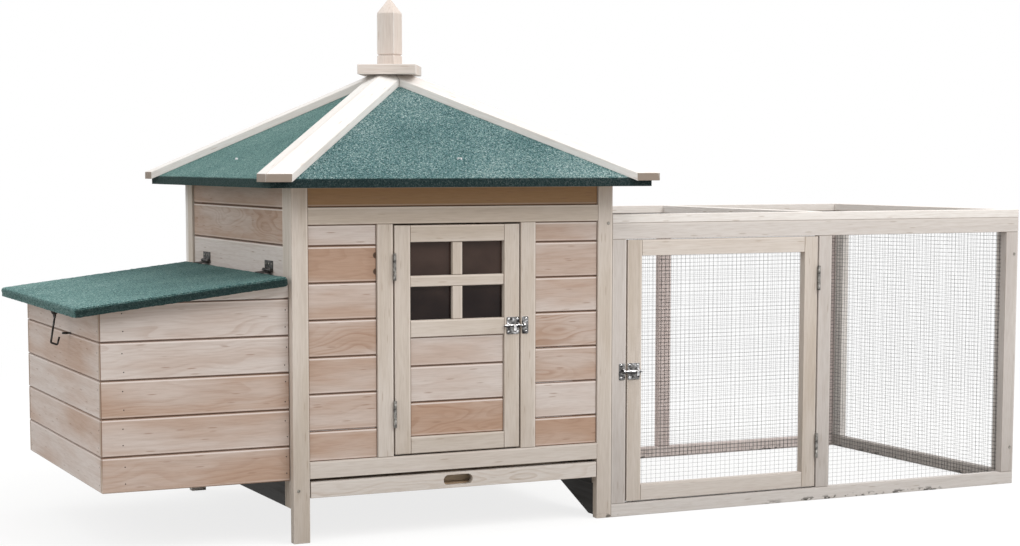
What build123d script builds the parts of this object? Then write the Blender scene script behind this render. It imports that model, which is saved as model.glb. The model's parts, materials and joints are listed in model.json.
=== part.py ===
"""Timber chicken coop: a hip-roofed house with a nest box on its left and a wire run on its right.

Millimetres, +Z up. X runs along the front from the nest box to the run, the front faces -Y.
The origin lies on the ground, midway along the length and midway between the front and the back.
"""
from build123d import *
from math import atan, ceil, cos, degrees, floor, radians, sin, tan
import os

os.makedirs("parts", exist_ok=True)

# Timber sections
frame_width = 40.0
frame_thickness = 22.0
plank_thickness = 10.0
plank_pitch = 86.0
plank_gap = 1.0
plank_recess = 5.0
least_rip = 12.0
joint_gap = 0.2
slide_gap = 0.3

# House
side_panel_width = 171.0
door_opening_width = 333.0
door_opening_height = 550.0
house_depth = 850.0
floor_height = 150.0
header_height = 50.0
sill_height = 95.0
first_seam = 25.0
hole_rows = 3
nest_hole_width = 560.0
pop_hole_width = 240.0
pop_hole_centre = -120.0

# House door
door_gap = 4.0
door_panel_height = 237.0
door_first_seam = 4.0
glazing_bar_width = 26.0
glazing_bar_thickness = 12.0
pane_thickness = 3.0

# Droppings tray
tray_top_gap = 7.0
tray_front_height = 38.0
tray_front_thickness = 18.0
tray_board_thickness = 10.0
tray_side_gap = 2.0
runner_height = 18.0
runner_setback = 100.0
tray_slot_length = 76.0
tray_slot_height = 25.0

# Perch
perch_size = 34.0
perch_lift = 47.0
perch_place = 200.0
perch_round = 7.0

# Foot braces
brace_foot = 58.0
brace_length = 200.0

# Roof
eave_overhang = 65.0
roof_pitch = 28.0
eave_cover = 4.5
eave_drop = 21.0
roof_board = 14.0
felt = 3.0
cap_reach = 63.0
cap_thickness = 17.0
cap_overhang = 15.0
cap_flat_half = 41.5
apex_block_half = 45.0
apex_block_height = 40.0

# Finial
plate_side = 148.0
plate_thickness = 25.0
plate_turn = -28.6
post_side = 48.0
post_turn = -49.0
post_block_height = 24.0
post_groove = 3.0
post_shaft_height = 104.0
post_tip_height = 38.0
post_tip_side = 3.0

# Nest box
nest_reach = 443.0
nest_depth = 750.0
nest_drop = 4.0
nest_first_plank = 81.0
nest_end_height = 408.0
nest_rise = 52.0
nest_floor_thickness = 12.0
lid_thickness = 19.0
lid_felt = 2.5
lid_end_overhang = 60.0
lid_side_overhang = 30.0
lid_wall_gap = 8.0
lid_corner_radius = 14.0
lid_open_room = 0.3

# Run
bay_width = 570.0
run_panel_height = 734.0
run_top_thickness = 21.0
run_bottom_rail = 33.0
net_pitch = 60.0
net_wire = 2.0
net_lap = 12.0
run_door_head_gap = 2.0

# Hinges
hinge_length = 64.0
hinge_leaf = 18.0
hinge_sheet = 1.2
knuckle_radius = 4.0
pin_radius = 1.5
pin_clearance = 0.05
knuckle_gap = 0.3
house_hinge_inset = 97.0
run_hinge_inset = 108.0
lid_hinge_length = 60.0
lid_hinge_spacing = 500.0

# Barrel bolts
bolt_radius = 3.0
bolt_clearance = 0.1
bolt_plate_width = 34.0
bolt_plate_height = 42.0
bolt_sheet = 1.5
bolt_lift = 0.75
bolt_strap = 5.0
bolt_strap_height = 12.0
bolt_plate_edge = 1.5
bolt_edge_gap = 0.5
bolt_travel = 10.0
bolt_slack = 0.8
keeper_width = 17.0
keeper_inset = 3.0
bolt_end_gap = 1.0
bolt_lever = 14.0
lever_radius = 2.4

# Lid hook and its eyes
wire_radius = 1.6
eye_ring = 6.0
eye_shank = 6.0
hook_length = 70.0
hook_lean = 10.0
hook_tail = 18.0
hook_inset = 22.0
hook_offset = 100.0
catch_drop = 68.0

# Pop door and its guides
pop_door_thickness = 8.0
pop_door_lap = 15.0
guide_ledge = 20.0
guide_lip = 10.0
guide_lip_thickness = 6.0
knob_radius = 8.5
knob_length = 17.0

# Screws
screw_radius = 4.0
screw_rise = 1.4
screw_taper = 18.0
screw_inset = 12.0
screw_top_drop = 60.0
screw_foot_rise = 68.0

# Places that follow from the sizes above
house_width = 4 * frame_width + 2 * side_panel_width + door_opening_width
run_length = 3 * frame_width + 2 * bay_width
run_height = run_panel_height + run_top_thickness
lid_slope = nest_rise / nest_reach
lid_angle = degrees(atan(lid_slope))
lid_lean = lid_thickness * sin(radians(lid_angle))
total_length = lid_lean + lid_end_overhang + nest_reach + house_width + run_length
house_left = total_length / 2 - run_length - house_width
house_right = house_left + house_width
house_x = (house_left + house_right) / 2
run_right = house_right + run_length
front = -house_depth / 2
back = house_depth / 2
inner_front = front + frame_thickness
inner_back = back - frame_thickness
plank_base = floor_height + first_seam
sill_top = plank_base
sill_low = sill_top - sill_height
tray_front_low = floor_height - tray_top_gap - tray_front_height
opening_low = floor_height + frame_width
opening_high = opening_low + door_opening_height
top_rail_high = opening_high + frame_width
wall_top = top_rail_high + header_height
opening_left = house_x - door_opening_width / 2
opening_right = house_x + door_opening_width / 2
hole_low = plank_base
hole_high = plank_base + hole_rows * plank_pitch
perch_height = hole_high + perch_lift
roof_half = max(house_width, house_depth) / 2 + eave_overhang
roof_slope = tan(radians(roof_pitch))
eave_low = wall_top - eave_cover
eave_high = eave_low + eave_drop
nest_low = floor_height - nest_drop
nest_seam = nest_low + nest_first_plank
nest_top_at_wall = nest_low + nest_end_height + nest_rise
nest_front = inner_front
nest_back = nest_front + nest_depth
nest_left = house_left - nest_reach
nest_middle = (nest_front + nest_back) / 2


def block(low, high):
    """A squared piece of timber between two opposite corners, in the open part."""
    sizes = [b - a for a, b in zip(low, high)]
    middle = [(a + b) / 2 for a, b in zip(low, high)]
    with Locations(tuple(middle)):
        Box(*sizes)


def rows(low, high, seam):
    """Lower and upper edges of the planks between two levels, cut on the seam grid."""
    first = ceil((low + least_rip - seam) / plank_pitch)
    last = floor((high - least_rip - seam) / plank_pitch)
    seams = [seam + k * plank_pitch for k in range(first, last + 1)]
    lows = [low] + [s + plank_gap / 2 for s in seams]
    highs = [s - plank_gap / 2 for s in seams] + [high]
    return list(zip(lows, highs))


def save(piece, name):
    """Name the finished piece and write it."""
    piece.part.label = name
    export_step(piece.part, f"parts/{name}.step")


# House frame

with BuildPart() as corner_posts:
    for x in (house_left, house_right - frame_width):
        for y in (front, inner_back):
            block((x, y, 0), (x + frame_width, y + frame_thickness, wall_top))
save(corner_posts, "corner_posts")

rail_left = house_left + frame_width + joint_gap
rail_right = house_right - frame_width - joint_gap

with BuildPart() as front_rails:
    block((rail_left, front, floor_height), (rail_right, inner_front, opening_low))
    block((rail_left, front, opening_high), (rail_right, inner_front, top_rail_high))
save(front_rails, "front_rails")

with BuildPart() as door_frame_stiles:
    for x in (opening_left - frame_width, opening_right):
        block(
            (x, front, opening_low + joint_gap),
            (x + frame_width, inner_front, opening_high - joint_gap),
        )
save(door_frame_stiles, "door_frame_stiles")

with BuildPart() as back_rails:
    block((rail_left, inner_back, floor_height), (rail_right, back, opening_low))
    block((rail_left, inner_back, wall_top - frame_width), (rail_right, back, wall_top))
save(back_rails, "back_rails")

side_front = inner_front + frame_width
side_back = inner_back - frame_width


def side_frame(outer, inner):
    """Two stiles and the sill rail of one side wall, between its outer and inner faces."""
    low_x, high_x = sorted((outer, inner))
    for y in (inner_front + joint_gap, side_back):
        block((low_x, y, sill_low), (high_x, y + frame_width - joint_gap, wall_top))
    block(
        (low_x, side_front + joint_gap, sill_low),
        (high_x, side_back - joint_gap, sill_top),
    )


with BuildPart() as left_wall_frame:
    side_frame(house_left, house_left + frame_thickness)
save(left_wall_frame, "left_wall_frame")

with BuildPart() as right_wall_frame:
    side_frame(house_right, house_right - frame_thickness)
save(right_wall_frame, "right_wall_frame")

with BuildPart() as foot_braces:
    for y, way in ((inner_front, 1), (inner_back, -1)):
        with BuildSketch(Plane.YZ.offset(house_right - frame_thickness)):
            with BuildLine():
                Polyline(
                    (y, 0),
                    (y, sill_low),
                    (y + way * (brace_foot + brace_length), sill_low),
                    (y + way * brace_foot, 0),
                    close=True,
                )
            make_face()
        extrude(amount=frame_thickness)
save(foot_braces, "foot_braces")

# House cladding

front_skin = front + plank_recess
back_skin = back - plank_recess
left_skin = house_left + plank_recess
right_skin = house_right - plank_recess

with BuildPart() as front_planks:
    left_panel = (rail_left, opening_left - frame_width - joint_gap)
    right_panel = (opening_right + frame_width + joint_gap, rail_right)
    for x0, x1 in (left_panel, right_panel):
        for z0, z1 in rows(opening_low + joint_gap, opening_high - joint_gap, plank_base):
            block((x0, front_skin, z0), (x1, front_skin + plank_thickness, z1))
    block(
        (rail_left, front_skin, top_rail_high + joint_gap),
        (rail_right, front_skin + plank_thickness, wall_top),
    )
save(front_planks, "front_planks")

with BuildPart() as back_planks:
    for z0, z1 in rows(opening_low + joint_gap, wall_top - frame_width - joint_gap, plank_base):
        block((rail_left, back_skin - plank_thickness, z0), (rail_right, back_skin, z1))
save(back_planks, "back_planks")


def side_planks(x0, x1, hole_front, hole_back):
    """The planks of one side wall, with the rows beside its hole cut in two."""
    ends = (side_front + joint_gap, side_back - joint_gap)
    for z0, z1 in rows(sill_top + joint_gap, wall_top, plank_base):
        beside_hole = z1 <= hole_high
        spans = ((ends[0], hole_front), (hole_back, ends[1])) if beside_hole else (ends,)
        for y0, y1 in spans:
            block((x0, y0, z0), (x1, y1, z1))


nest_hole = (nest_middle - nest_hole_width / 2, nest_middle + nest_hole_width / 2)
pop_hole = (pop_hole_centre - pop_hole_width / 2, pop_hole_centre + pop_hole_width / 2)

with BuildPart() as left_wall_planks:
    side_planks(left_skin, left_skin + plank_thickness, *nest_hole)
save(left_wall_planks, "left_wall_planks")

with BuildPart() as right_wall_planks:
    side_planks(right_skin - plank_thickness, right_skin, *pop_hole)
save(right_wall_planks, "right_wall_planks")

# Perch across the house, screwed through both side walls

with BuildPart() as perch:
    perch_ends = (left_skin + plank_thickness, right_skin - plank_thickness)
    with BuildSketch(Plane.YZ.offset(perch_ends[0])):
        with Locations((perch_place, perch_height)):
            RectangleRounded(perch_size, perch_size, perch_round)
    extrude(amount=perch_ends[1] - perch_ends[0])
save(perch, "perch")

# Droppings tray on its runners

runner_top = tray_front_low
runner_reach = 2 * frame_width - frame_thickness

with BuildPart() as tray_runners:
    for x0 in (house_left + frame_thickness, house_right - frame_thickness - runner_reach):
        block(
            (x0, side_front + runner_setback, runner_top - runner_height),
            (x0 + runner_reach, side_back - joint_gap, runner_top),
        )
save(tray_runners, "tray_runners")

tray_left = house_left + frame_width + tray_side_gap
tray_right = house_right - frame_width - tray_side_gap
tray_middle = tray_front_low + tray_front_height / 2

with BuildPart() as tray_front:
    block(
        (tray_left, front, tray_front_low),
        (tray_right, front + tray_front_thickness, tray_front_low + tray_front_height),
    )
    with BuildSketch(Plane.XZ.offset(-front)):
        with Locations((house_x, tray_middle)):
            SlotOverall(tray_slot_length, tray_slot_height)
    extrude(amount=-tray_front_thickness, mode=Mode.SUBTRACT)
save(tray_front, "tray_front")

with BuildPart() as tray_board:
    block(
        (tray_left, front + tray_front_thickness, runner_top + slide_gap),
        (tray_right, inner_back - door_gap, runner_top + slide_gap + tray_board_thickness),
    )
save(tray_board, "tray_board")

# Roof: the same section on each of the four sides

roof_sides = ("front", "right", "back", "left")


def roof_planes(turn):
    """Section plane and plan plane of one roof side, turned from the front."""
    out = (sin(radians(turn)), -cos(radians(turn)), 0)
    along = (cos(radians(turn)), sin(radians(turn)), 0)
    centre = (house_x, 0, 0)
    section = Plane(origin=centre, x_dir=out, z_dir=(-along[0], -along[1], 0))
    plan = Plane(origin=centre, x_dir=along, z_dir=(0, 0, 1))
    return section, plan


def upright(thickness):
    """Height that a layer lying on the roof pitch takes up, measured plumb."""
    return thickness / cos(radians(roof_pitch))


def roof_height(reach, depth=0.0):
    """Height of the felt's top, or of a layer so deep below it, at a reach from the centre."""
    return eave_high + (roof_half - reach) * roof_slope - upright(depth)


def plan_triangle(plan, reach, gap):
    """Keep what lies between the two hips of one roof side."""
    with BuildSketch(plan) as keep:
        with BuildLine():
            Polyline((0, -gap), (reach - gap, -reach), (gap - reach, -reach), close=True)
        make_face()
    extrude(keep.sketch, amount=plate_low, mode=Mode.INTERSECT)


board_reach = roof_half - felt
under_felt = felt + roof_board
plate_low = roof_height(cap_flat_half, -cap_thickness)


def square_at(height, half):
    """A square sketch round the roof's centre line, for a pitched loft."""
    with BuildSketch(Plane((house_x, 0, height))) as outline:
        Rectangle(2 * half, 2 * half)
    return outline.sketch


def pitched_solid(depth, low, high, mode):
    """A pyramid stump under one layer of the roof, between two heights."""
    halves = [roof_half + (roof_height(roof_half, depth) - z) / roof_slope for z in (low, high)]
    loft([square_at(low, halves[0]), square_at(high, halves[1])], ruled=True, mode=mode)


def slots(turns, low, high):
    """Cut thin upright gaps through the roof's centre line, out past every eave."""
    for turn in turns:
        with BuildSketch(Plane((house_x, 0, low))) as gap:
            Rectangle(total_length, joint_gap, rotation=turn)
        extrude(gap.sketch, amount=high - low, mode=Mode.SUBTRACT)


block_top = roof_height(apex_block_half)
apex_side = 2 * apex_block_half

with BuildPart() as roof_boards:
    pitched_solid(felt, eave_low, block_top, Mode.ADD)
    with BuildSketch(Plane((house_x, 0, eave_low))):
        Rectangle(2 * board_reach, 2 * board_reach)
    extrude(amount=plate_low - eave_low, mode=Mode.INTERSECT)
    pitched_solid(under_felt, eave_low, block_top, Mode.SUBTRACT)
    with Locations((house_x, 0, block_top)):
        Box(apex_side, apex_side, plate_low - eave_low, mode=Mode.SUBTRACT)
    slots((45, 135), eave_low, plate_low)
save(roof_boards, "roof_boards")

for k, side in enumerate(roof_sides):
    section, plan = roof_planes(90 * k)
    with BuildPart() as roof_felt:
        with BuildSketch(section):
            with BuildLine():
                Polyline(
                    (roof_half, eave_low),
                    (roof_half, roof_height(roof_half)),
                    (apex_block_half, roof_height(apex_block_half)),
                    (apex_block_half, roof_height(apex_block_half, felt)),
                    (board_reach, roof_height(board_reach, felt)),
                    (board_reach, eave_low),
                    close=True,
                )
            make_face()
        extrude(amount=roof_half, both=True)
        plan_triangle(plan, roof_half, joint_gap)
    save(roof_felt, f"roof_felt_{side}")

cap_end = roof_half + cap_overhang
cap_low = roof_height(cap_end)

with BuildPart() as hip_caps:
    pitched_solid(-cap_thickness, cap_low, plate_low, Mode.ADD)
    with BuildSketch(Plane((house_x, 0, cap_low))):
        Rectangle(2 * cap_end, 2 * cap_end)
    extrude(amount=plate_low - cap_low, mode=Mode.INTERSECT)
    pitched_solid(0, cap_low, plate_low, Mode.SUBTRACT)
    for k in range(4):
        plan = roof_planes(90 * k)[1]
        with BuildSketch(plan):
            with BuildLine():
                Polyline(
                    (0, -cap_reach),
                    (roof_half, -cap_reach - roof_half),
                    (-roof_half, -cap_reach - roof_half),
                    close=True,
                )
            make_face()
        extrude(amount=plate_low, mode=Mode.SUBTRACT)
    slots((0, 45, 90, 135), cap_low, plate_low)
save(hip_caps, "hip_caps")

with BuildPart() as apex_block:
    with Locations((house_x, 0, block_top - apex_block_height / 2)):
        Box(apex_side - joint_gap, apex_side - joint_gap, apex_block_height)
save(apex_block, "apex_block")

with BuildPart() as roof_plates:
    for y0 in (front, inner_back):
        block((house_left, y0, wall_top), (house_right, y0 + frame_thickness, plate_low))
    for x0 in (house_left, house_right - frame_thickness):
        block(
            (x0, inner_front + joint_gap, wall_top),
            (x0 + frame_thickness, inner_back - joint_gap, plate_low),
        )
    pitched_solid(under_felt, eave_low, block_top - apex_block_height, Mode.INTERSECT)
save(roof_plates, "roof_plates")

# Finial

with BuildPart() as finial_plate:
    with BuildSketch(Plane((house_x, 0, plate_low))):
        Rectangle(plate_side, plate_side, rotation=plate_turn)
    extrude(amount=plate_thickness)
save(finial_plate, "finial_plate")

with BuildPart() as finial_post:
    post_low = plate_low + plate_thickness
    neck_side = post_side - 2 * post_groove
    shaft_low = post_low + post_block_height + post_groove
    shaft_high = shaft_low + post_shaft_height
    with BuildSketch(Plane((house_x, 0, post_low))):
        Rectangle(post_side, post_side, rotation=post_turn)
    extrude(amount=post_block_height)
    with BuildSketch(Plane((house_x, 0, post_low + post_block_height))):
        Rectangle(neck_side, neck_side, rotation=post_turn)
    extrude(amount=post_groove)
    with BuildSketch(Plane((house_x, 0, shaft_low))):
        Rectangle(post_side, post_side, rotation=post_turn)
    extrude(amount=post_shaft_height)
    with BuildSketch(Plane((house_x, 0, shaft_high))):
        Rectangle(post_side, post_side, rotation=post_turn)
    with BuildSketch(Plane((house_x, 0, shaft_high + post_tip_height))):
        Rectangle(post_tip_side, post_tip_side, rotation=post_turn)
    loft(ruled=True)
save(finial_post, "finial_post")

# Nest box


def lid_under(x):
    """Height of the lid's underside above a place along the nest box."""
    return nest_top_at_wall + (x - house_left) * lid_slope


def sloped_board(y0, y1, x0, x1, z0, z1, room):
    """An upright board along X whose top is cut to the lid where it reaches it."""
    top0 = min(z1, lid_under(x0) - room)
    top1 = min(z1, lid_under(x1) - room)
    corners = [(x0, z0), (x1, z0), (x1, top1)]
    if top0 < z1 and top1 == z1:
        corners.append((house_left + (z1 + room - nest_top_at_wall) / lid_slope, z1))
    if top0 > z0:
        corners.append((x0, top0))
    else:
        corners.append((house_left + (z0 + room - nest_top_at_wall) / lid_slope, z0))
        corners = corners[1:]
    with BuildSketch(Plane.XZ.offset(-y1)) as profile:
        with BuildLine():
            Polyline(*corners, close=True)
        make_face()
    extrude(profile.sketch, amount=y1 - y0)


with BuildPart() as nest_side_planks:
    for y0, wall_end in ((nest_front, house_left), (nest_back - plank_thickness, left_skin)):
        for z0, z1 in rows(nest_low, lid_under(wall_end), nest_seam):
            end = house_left if z0 < sill_top else wall_end
            sloped_board(y0, y0 + plank_thickness, nest_left, end, z0, z1, lid_open_room)
save(nest_side_planks, "nest_side_planks")

nest_inner = (nest_front + plank_thickness + joint_gap, nest_back - plank_thickness - joint_gap)

with BuildPart() as nest_end_planks:
    end_top = lid_under(nest_left) - lid_open_room
    for z0, z1 in rows(nest_low, end_top, nest_seam):
        block((nest_left, nest_inner[0], z0), (nest_left + plank_thickness, nest_inner[1], z1))
save(nest_end_planks, "nest_end_planks")

floor_left = nest_left + plank_thickness + joint_gap

with BuildPart() as nest_floor:
    block(
        (floor_left, nest_inner[0], nest_low),
        (house_left - joint_gap, nest_inner[1], nest_low + nest_floor_thickness),
    )
save(nest_floor, "nest_floor")

with BuildPart() as nest_divider:
    sloped_board(
        nest_middle - plank_thickness / 2,
        nest_middle + plank_thickness / 2,
        floor_left,
        house_left - joint_gap,
        nest_low + nest_floor_thickness,
        hole_high,
        lid_open_room,
    )
save(nest_divider, "nest_divider")

# Nest lid, built in the plane of its underside

lid_outer = nest_left - lid_end_overhang
lid_inner = house_left - lid_wall_gap
lid_front = nest_front - lid_side_overhang
lid_back = nest_back + lid_side_overhang
lid_length = (lid_inner - lid_outer) / cos(radians(lid_angle))
lid_width = lid_back - lid_front
lid_dir = (cos(radians(lid_angle)), 0, sin(radians(lid_angle)))
lid_up = (-sin(radians(lid_angle)), 0, cos(radians(lid_angle)))
lid_middle_x = (lid_outer + lid_inner) / 2
lid_base = Plane(
    origin=(lid_middle_x, (lid_front + lid_back) / 2, lid_under(lid_middle_x)),
    x_dir=lid_dir,
    z_dir=lid_up,
)
lid_core = lid_thickness - lid_felt
board_size = (lid_length - 2 * lid_felt, lid_width - 2 * lid_felt)
board_radius = lid_corner_radius - lid_felt

with BuildPart() as lid_board:
    with BuildSketch(lid_base):
        RectangleRounded(*board_size, board_radius)
    extrude(amount=lid_core)
save(lid_board, "lid_board")

with BuildPart() as lid_felt_cover:
    with BuildSketch(lid_base):
        RectangleRounded(lid_length, lid_width, lid_corner_radius)
    extrude(amount=lid_thickness)
    with BuildSketch(lid_base):
        RectangleRounded(*board_size, board_radius)
    extrude(amount=lid_core, mode=Mode.SUBTRACT)
save(lid_felt_cover, "lid_felt_cover")

# House door

door_left = opening_left + door_gap
door_right = opening_right - door_gap
door_low = opening_low + door_gap
door_high = opening_high - door_gap
door_clear = (door_left + frame_width + joint_gap, door_right - frame_width - joint_gap)
mid_rail_low = door_low + frame_width + door_panel_height
mid_rail_high = mid_rail_low + frame_width
window_high = door_high - frame_width

with BuildPart() as door_frame:
    for x0 in (door_left, door_right - frame_width):
        block((x0, front, door_low), (x0 + frame_width, inner_front, door_high))
    for z0 in (door_low, mid_rail_low, window_high):
        block((door_clear[0], front, z0), (door_clear[1], inner_front, z0 + frame_width))
save(door_frame, "door_frame")

with BuildPart() as door_planks:
    panel_low = door_low + frame_width
    for z0, z1 in rows(panel_low + joint_gap, mid_rail_low - joint_gap, panel_low - door_first_seam):
        block((door_clear[0], front_skin, z0), (door_clear[1], front_skin + plank_thickness, z1))
save(door_planks, "door_planks")

bar_front = front + plank_recess / 2
bar_middle = (mid_rail_high + window_high) / 2

with BuildPart() as glazing_bars:
    block(
        (door_clear[0], bar_front, bar_middle - glazing_bar_width / 2),
        (door_clear[1], bar_front + glazing_bar_thickness, bar_middle + glazing_bar_width / 2),
    )
    upright_gap = glazing_bar_width / 2 + joint_gap
    for z0, z1 in (
        (mid_rail_high + joint_gap, bar_middle - upright_gap),
        (bar_middle + upright_gap, window_high - joint_gap),
    ):
        block(
            (house_x - glazing_bar_width / 2, bar_front, z0),
            (house_x + glazing_bar_width / 2, bar_front + glazing_bar_thickness, z1),
        )
save(glazing_bars, "glazing_bars")

with BuildPart() as door_pane:
    pane_front = bar_front + glazing_bar_thickness
    block(
        (door_clear[0], pane_front, mid_rail_high + joint_gap),
        (door_clear[1], pane_front + pane_thickness, window_high - joint_gap),
    )
save(door_pane, "door_pane")

# Run panels: rails run through, stiles stand between them

stile_low = run_bottom_rail + joint_gap
top_rail_low = run_panel_height - frame_width
stile_high = top_rail_low - joint_gap
stile_places = [house_right + k * (frame_width + bay_width) for k in range(3)]
mid_stile = stile_places[1]


def long_panel(y0, y1):
    """Front or back panel of the run: two rails and three stiles."""
    block((house_right, y0, 0), (run_right, y1, run_bottom_rail))
    block((house_right, y0, top_rail_low), (run_right, y1, run_panel_height))
    for x0 in stile_places:
        block((x0, y0, stile_low), (x0 + frame_width, y1, stile_high))


with BuildPart() as run_front_frame:
    long_panel(front, inner_front)
save(run_front_frame, "run_front_frame")

with BuildPart() as run_back_frame:
    long_panel(inner_back, back)
save(run_back_frame, "run_back_frame")

end_inner = run_right - frame_thickness
end_span = (inner_front + joint_gap, inner_back - joint_gap)

with BuildPart() as run_end_frame:
    block((end_inner, end_span[0], 0), (run_right, end_span[1], run_bottom_rail))
    block((end_inner, end_span[0], top_rail_low), (run_right, end_span[1], run_panel_height))
    for y0 in (end_span[0], end_span[1] - frame_width):
        block((end_inner, y0, stile_low), (run_right, y0 + frame_width, stile_high))
save(run_end_frame, "run_end_frame")

with BuildPart() as run_top_frame:
    for y0 in (front, back - frame_width):
        block((house_right, y0, run_panel_height), (run_right, y0 + frame_width, run_height))
    for x0 in stile_places:
        block(
            (x0, front + frame_width + joint_gap, run_panel_height),
            (x0 + frame_width, back - frame_width - joint_gap, run_height),
        )
save(run_top_frame, "run_top_frame")


def net(plane, width, height):
    """A flat wire net on a plane's middle, one holed sheet with even gaps."""
    across = ceil(width / net_pitch)
    up = ceil(height / net_pitch)
    pitch_across = (width - net_wire) / across
    pitch_up = (height - net_wire) / up
    with BuildSketch(plane) as sheet:
        Rectangle(width, height)
        with GridLocations(pitch_across, pitch_up, across, up):
            Rectangle(pitch_across - net_wire, pitch_up - net_wire, mode=Mode.SUBTRACT)
    extrude(sheet.sketch, amount=net_wire)


net_low = run_bottom_rail - net_lap
net_high = top_rail_low + net_lap
net_middle = (net_low + net_high) / 2
net_height = net_high - net_low
bay_middle = mid_stile + frame_width + bay_width / 2
run_middle = (house_right + run_right) / 2
bay_span = bay_width + 2 * net_lap
whole_span = run_length - 2 * frame_width + 2 * net_lap

with BuildPart() as run_front_net:
    front_face = Plane(origin=(bay_middle, inner_front, net_middle), x_dir=(-1, 0, 0), z_dir=(0, 1, 0))
    net(front_face, bay_span, net_height)
save(run_front_net, "run_front_net")

with BuildPart() as run_back_net:
    back_face = Plane(origin=(run_middle, inner_back, net_middle), x_dir=(1, 0, 0), z_dir=(0, -1, 0))
    net(back_face, whole_span, net_height)
save(run_back_net, "run_back_net")

with BuildPart() as run_end_net:
    end_width = end_span[1] - end_span[0] - 2 * frame_width + 2 * net_lap
    end_face = Plane(origin=(end_inner, 0, net_middle), x_dir=(0, 1, 0), z_dir=(-1, 0, 0))
    net(end_face, end_width, net_height)
save(run_end_net, "run_end_net")

with BuildPart() as run_top_net:
    top_net_depth = house_depth - 2 * frame_width + 2 * net_lap
    top_face = Plane(origin=(run_middle, 0, run_panel_height), x_dir=(1, 0, 0), z_dir=(0, 0, -1))
    net(top_face, whole_span, top_net_depth)
save(run_top_net, "run_top_net")

# Run door

run_door_left = house_right + frame_width + door_gap
run_door_right = mid_stile - door_gap
run_door_low = run_bottom_rail + door_gap
run_door_high = top_rail_low - run_door_head_gap
run_clear = (run_door_left + frame_width + joint_gap, run_door_right - frame_width - joint_gap)

with BuildPart() as run_door_frame:
    for x0 in (run_door_left, run_door_right - frame_width):
        block((x0, front, run_door_low), (x0 + frame_width, inner_front, run_door_high))
    for z0 in (run_door_low, run_door_high - frame_width):
        block((run_clear[0], front, z0), (run_clear[1], inner_front, z0 + frame_width))
save(run_door_frame, "run_door_frame")

run_door_x = (run_door_left + run_door_right) / 2
run_door_z = (run_door_low + run_door_high) / 2

with BuildPart() as run_door_net:
    door_face = Plane(origin=(run_door_x, inner_front, run_door_z), x_dir=(-1, 0, 0), z_dir=(0, 1, 0))
    edge = 2 * (frame_width - net_lap)
    net(door_face, run_door_right - run_door_left - edge, run_door_high - run_door_low - edge)
save(run_door_net, "run_door_net")

# Butt hinges: three knuckles on a pin, the middle one on the moving leaf

knuckle_room = knuckle_radius + knuckle_gap


def hinge_leaf_on(axis, length, hand, offset, fixed):
    """One leaf of a hinge whose pin is the plane's normal; the leaf runs along the plane's X."""
    third = length / 3
    spans = ((-length / 2, -third / 2), (third / 2, length / 2)) if fixed else ((-third / 2, third / 2),)
    near, far = sorted((hand * (offset - hinge_sheet), hand * offset))
    for low, high in spans:
        with BuildSketch(axis.offset(low + knuckle_gap)) as shape:
            Circle(knuckle_radius)
            with BuildLine():
                Polyline((0, near), (knuckle_room, near), (knuckle_room, far), (0, far), close=True)
            make_face()
        extrude(shape.sketch, amount=high - low - 2 * knuckle_gap)
    with BuildSketch(axis.offset(-length / 2 + knuckle_gap)) as shape:
        with BuildLine():
            Polyline(
                (knuckle_room, near),
                (knuckle_room + hinge_leaf, near),
                (knuckle_room + hinge_leaf, far),
                (knuckle_room, far),
                close=True,
            )
        make_face()
    extrude(shape.sketch, amount=length - 2 * knuckle_gap)
    bore = pin_radius if fixed else pin_radius + pin_clearance
    with BuildSketch(axis.offset(-length / 2 + knuckle_gap)) as shape:
        Circle(bore)
    extrude(shape.sketch, amount=length - 2 * knuckle_gap, mode=Mode.ADD if fixed else Mode.SUBTRACT)


door_pin = front - knuckle_room
leaf_offset = door_gap / 2


def door_axes(x, low, high, inset):
    """Hinge axes near the top and the foot of a door, leaves pointing into its edge gap."""
    return [
        Plane(origin=(x, door_pin, z), x_dir=(0, 1, 0), z_dir=(0, 0, 1))
        for z in (low + inset, high - inset)
    ]


house_door_axes = door_axes(opening_left + leaf_offset, door_low, door_high, house_hinge_inset)
run_door_axes = door_axes(mid_stile - leaf_offset, run_door_low, run_door_high, run_hinge_inset)

lid_pin_x = left_skin - knuckle_room
lid_pin_z = lid_under(lid_pin_x) + (lid_thickness + knuckle_room) / cos(radians(lid_angle))
lid_pin_places = (-lid_hinge_spacing / 2, lid_hinge_spacing / 2)
wall_leaf_axes = [
    Plane(origin=(lid_pin_x, y, lid_pin_z), x_dir=(0, 0, 1), z_dir=(0, 1, 0)) for y in lid_pin_places
]
lid_leaf_axes = [
    Plane(origin=(lid_pin_x, y, lid_pin_z), x_dir=tuple(-c for c in lid_dir), z_dir=(0, 1, 0))
    for y in lid_pin_places
]

with BuildPart() as fixed_hinge_leaves:
    for axis in house_door_axes:
        hinge_leaf_on(axis, hinge_length, 1, leaf_offset, True)
    for axis in run_door_axes:
        hinge_leaf_on(axis, hinge_length, -1, leaf_offset, True)
    for axis in wall_leaf_axes:
        hinge_leaf_on(axis, lid_hinge_length, 1, knuckle_room, True)
save(fixed_hinge_leaves, "fixed_hinge_leaves")

with BuildPart() as door_hinge_leaves:
    for axis in house_door_axes:
        hinge_leaf_on(axis, hinge_length, -1, leaf_offset, False)
save(door_hinge_leaves, "door_hinge_leaves")

with BuildPart() as run_door_hinge_leaves:
    for axis in run_door_axes:
        hinge_leaf_on(axis, hinge_length, 1, leaf_offset, False)
save(run_door_hinge_leaves, "run_door_hinge_leaves")

with BuildPart() as lid_hinge_leaves:
    for axis in lid_leaf_axes:
        hinge_leaf_on(axis, lid_hinge_length, -1, knuckle_room, False)
save(lid_hinge_leaves, "lid_hinge_leaves")

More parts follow.
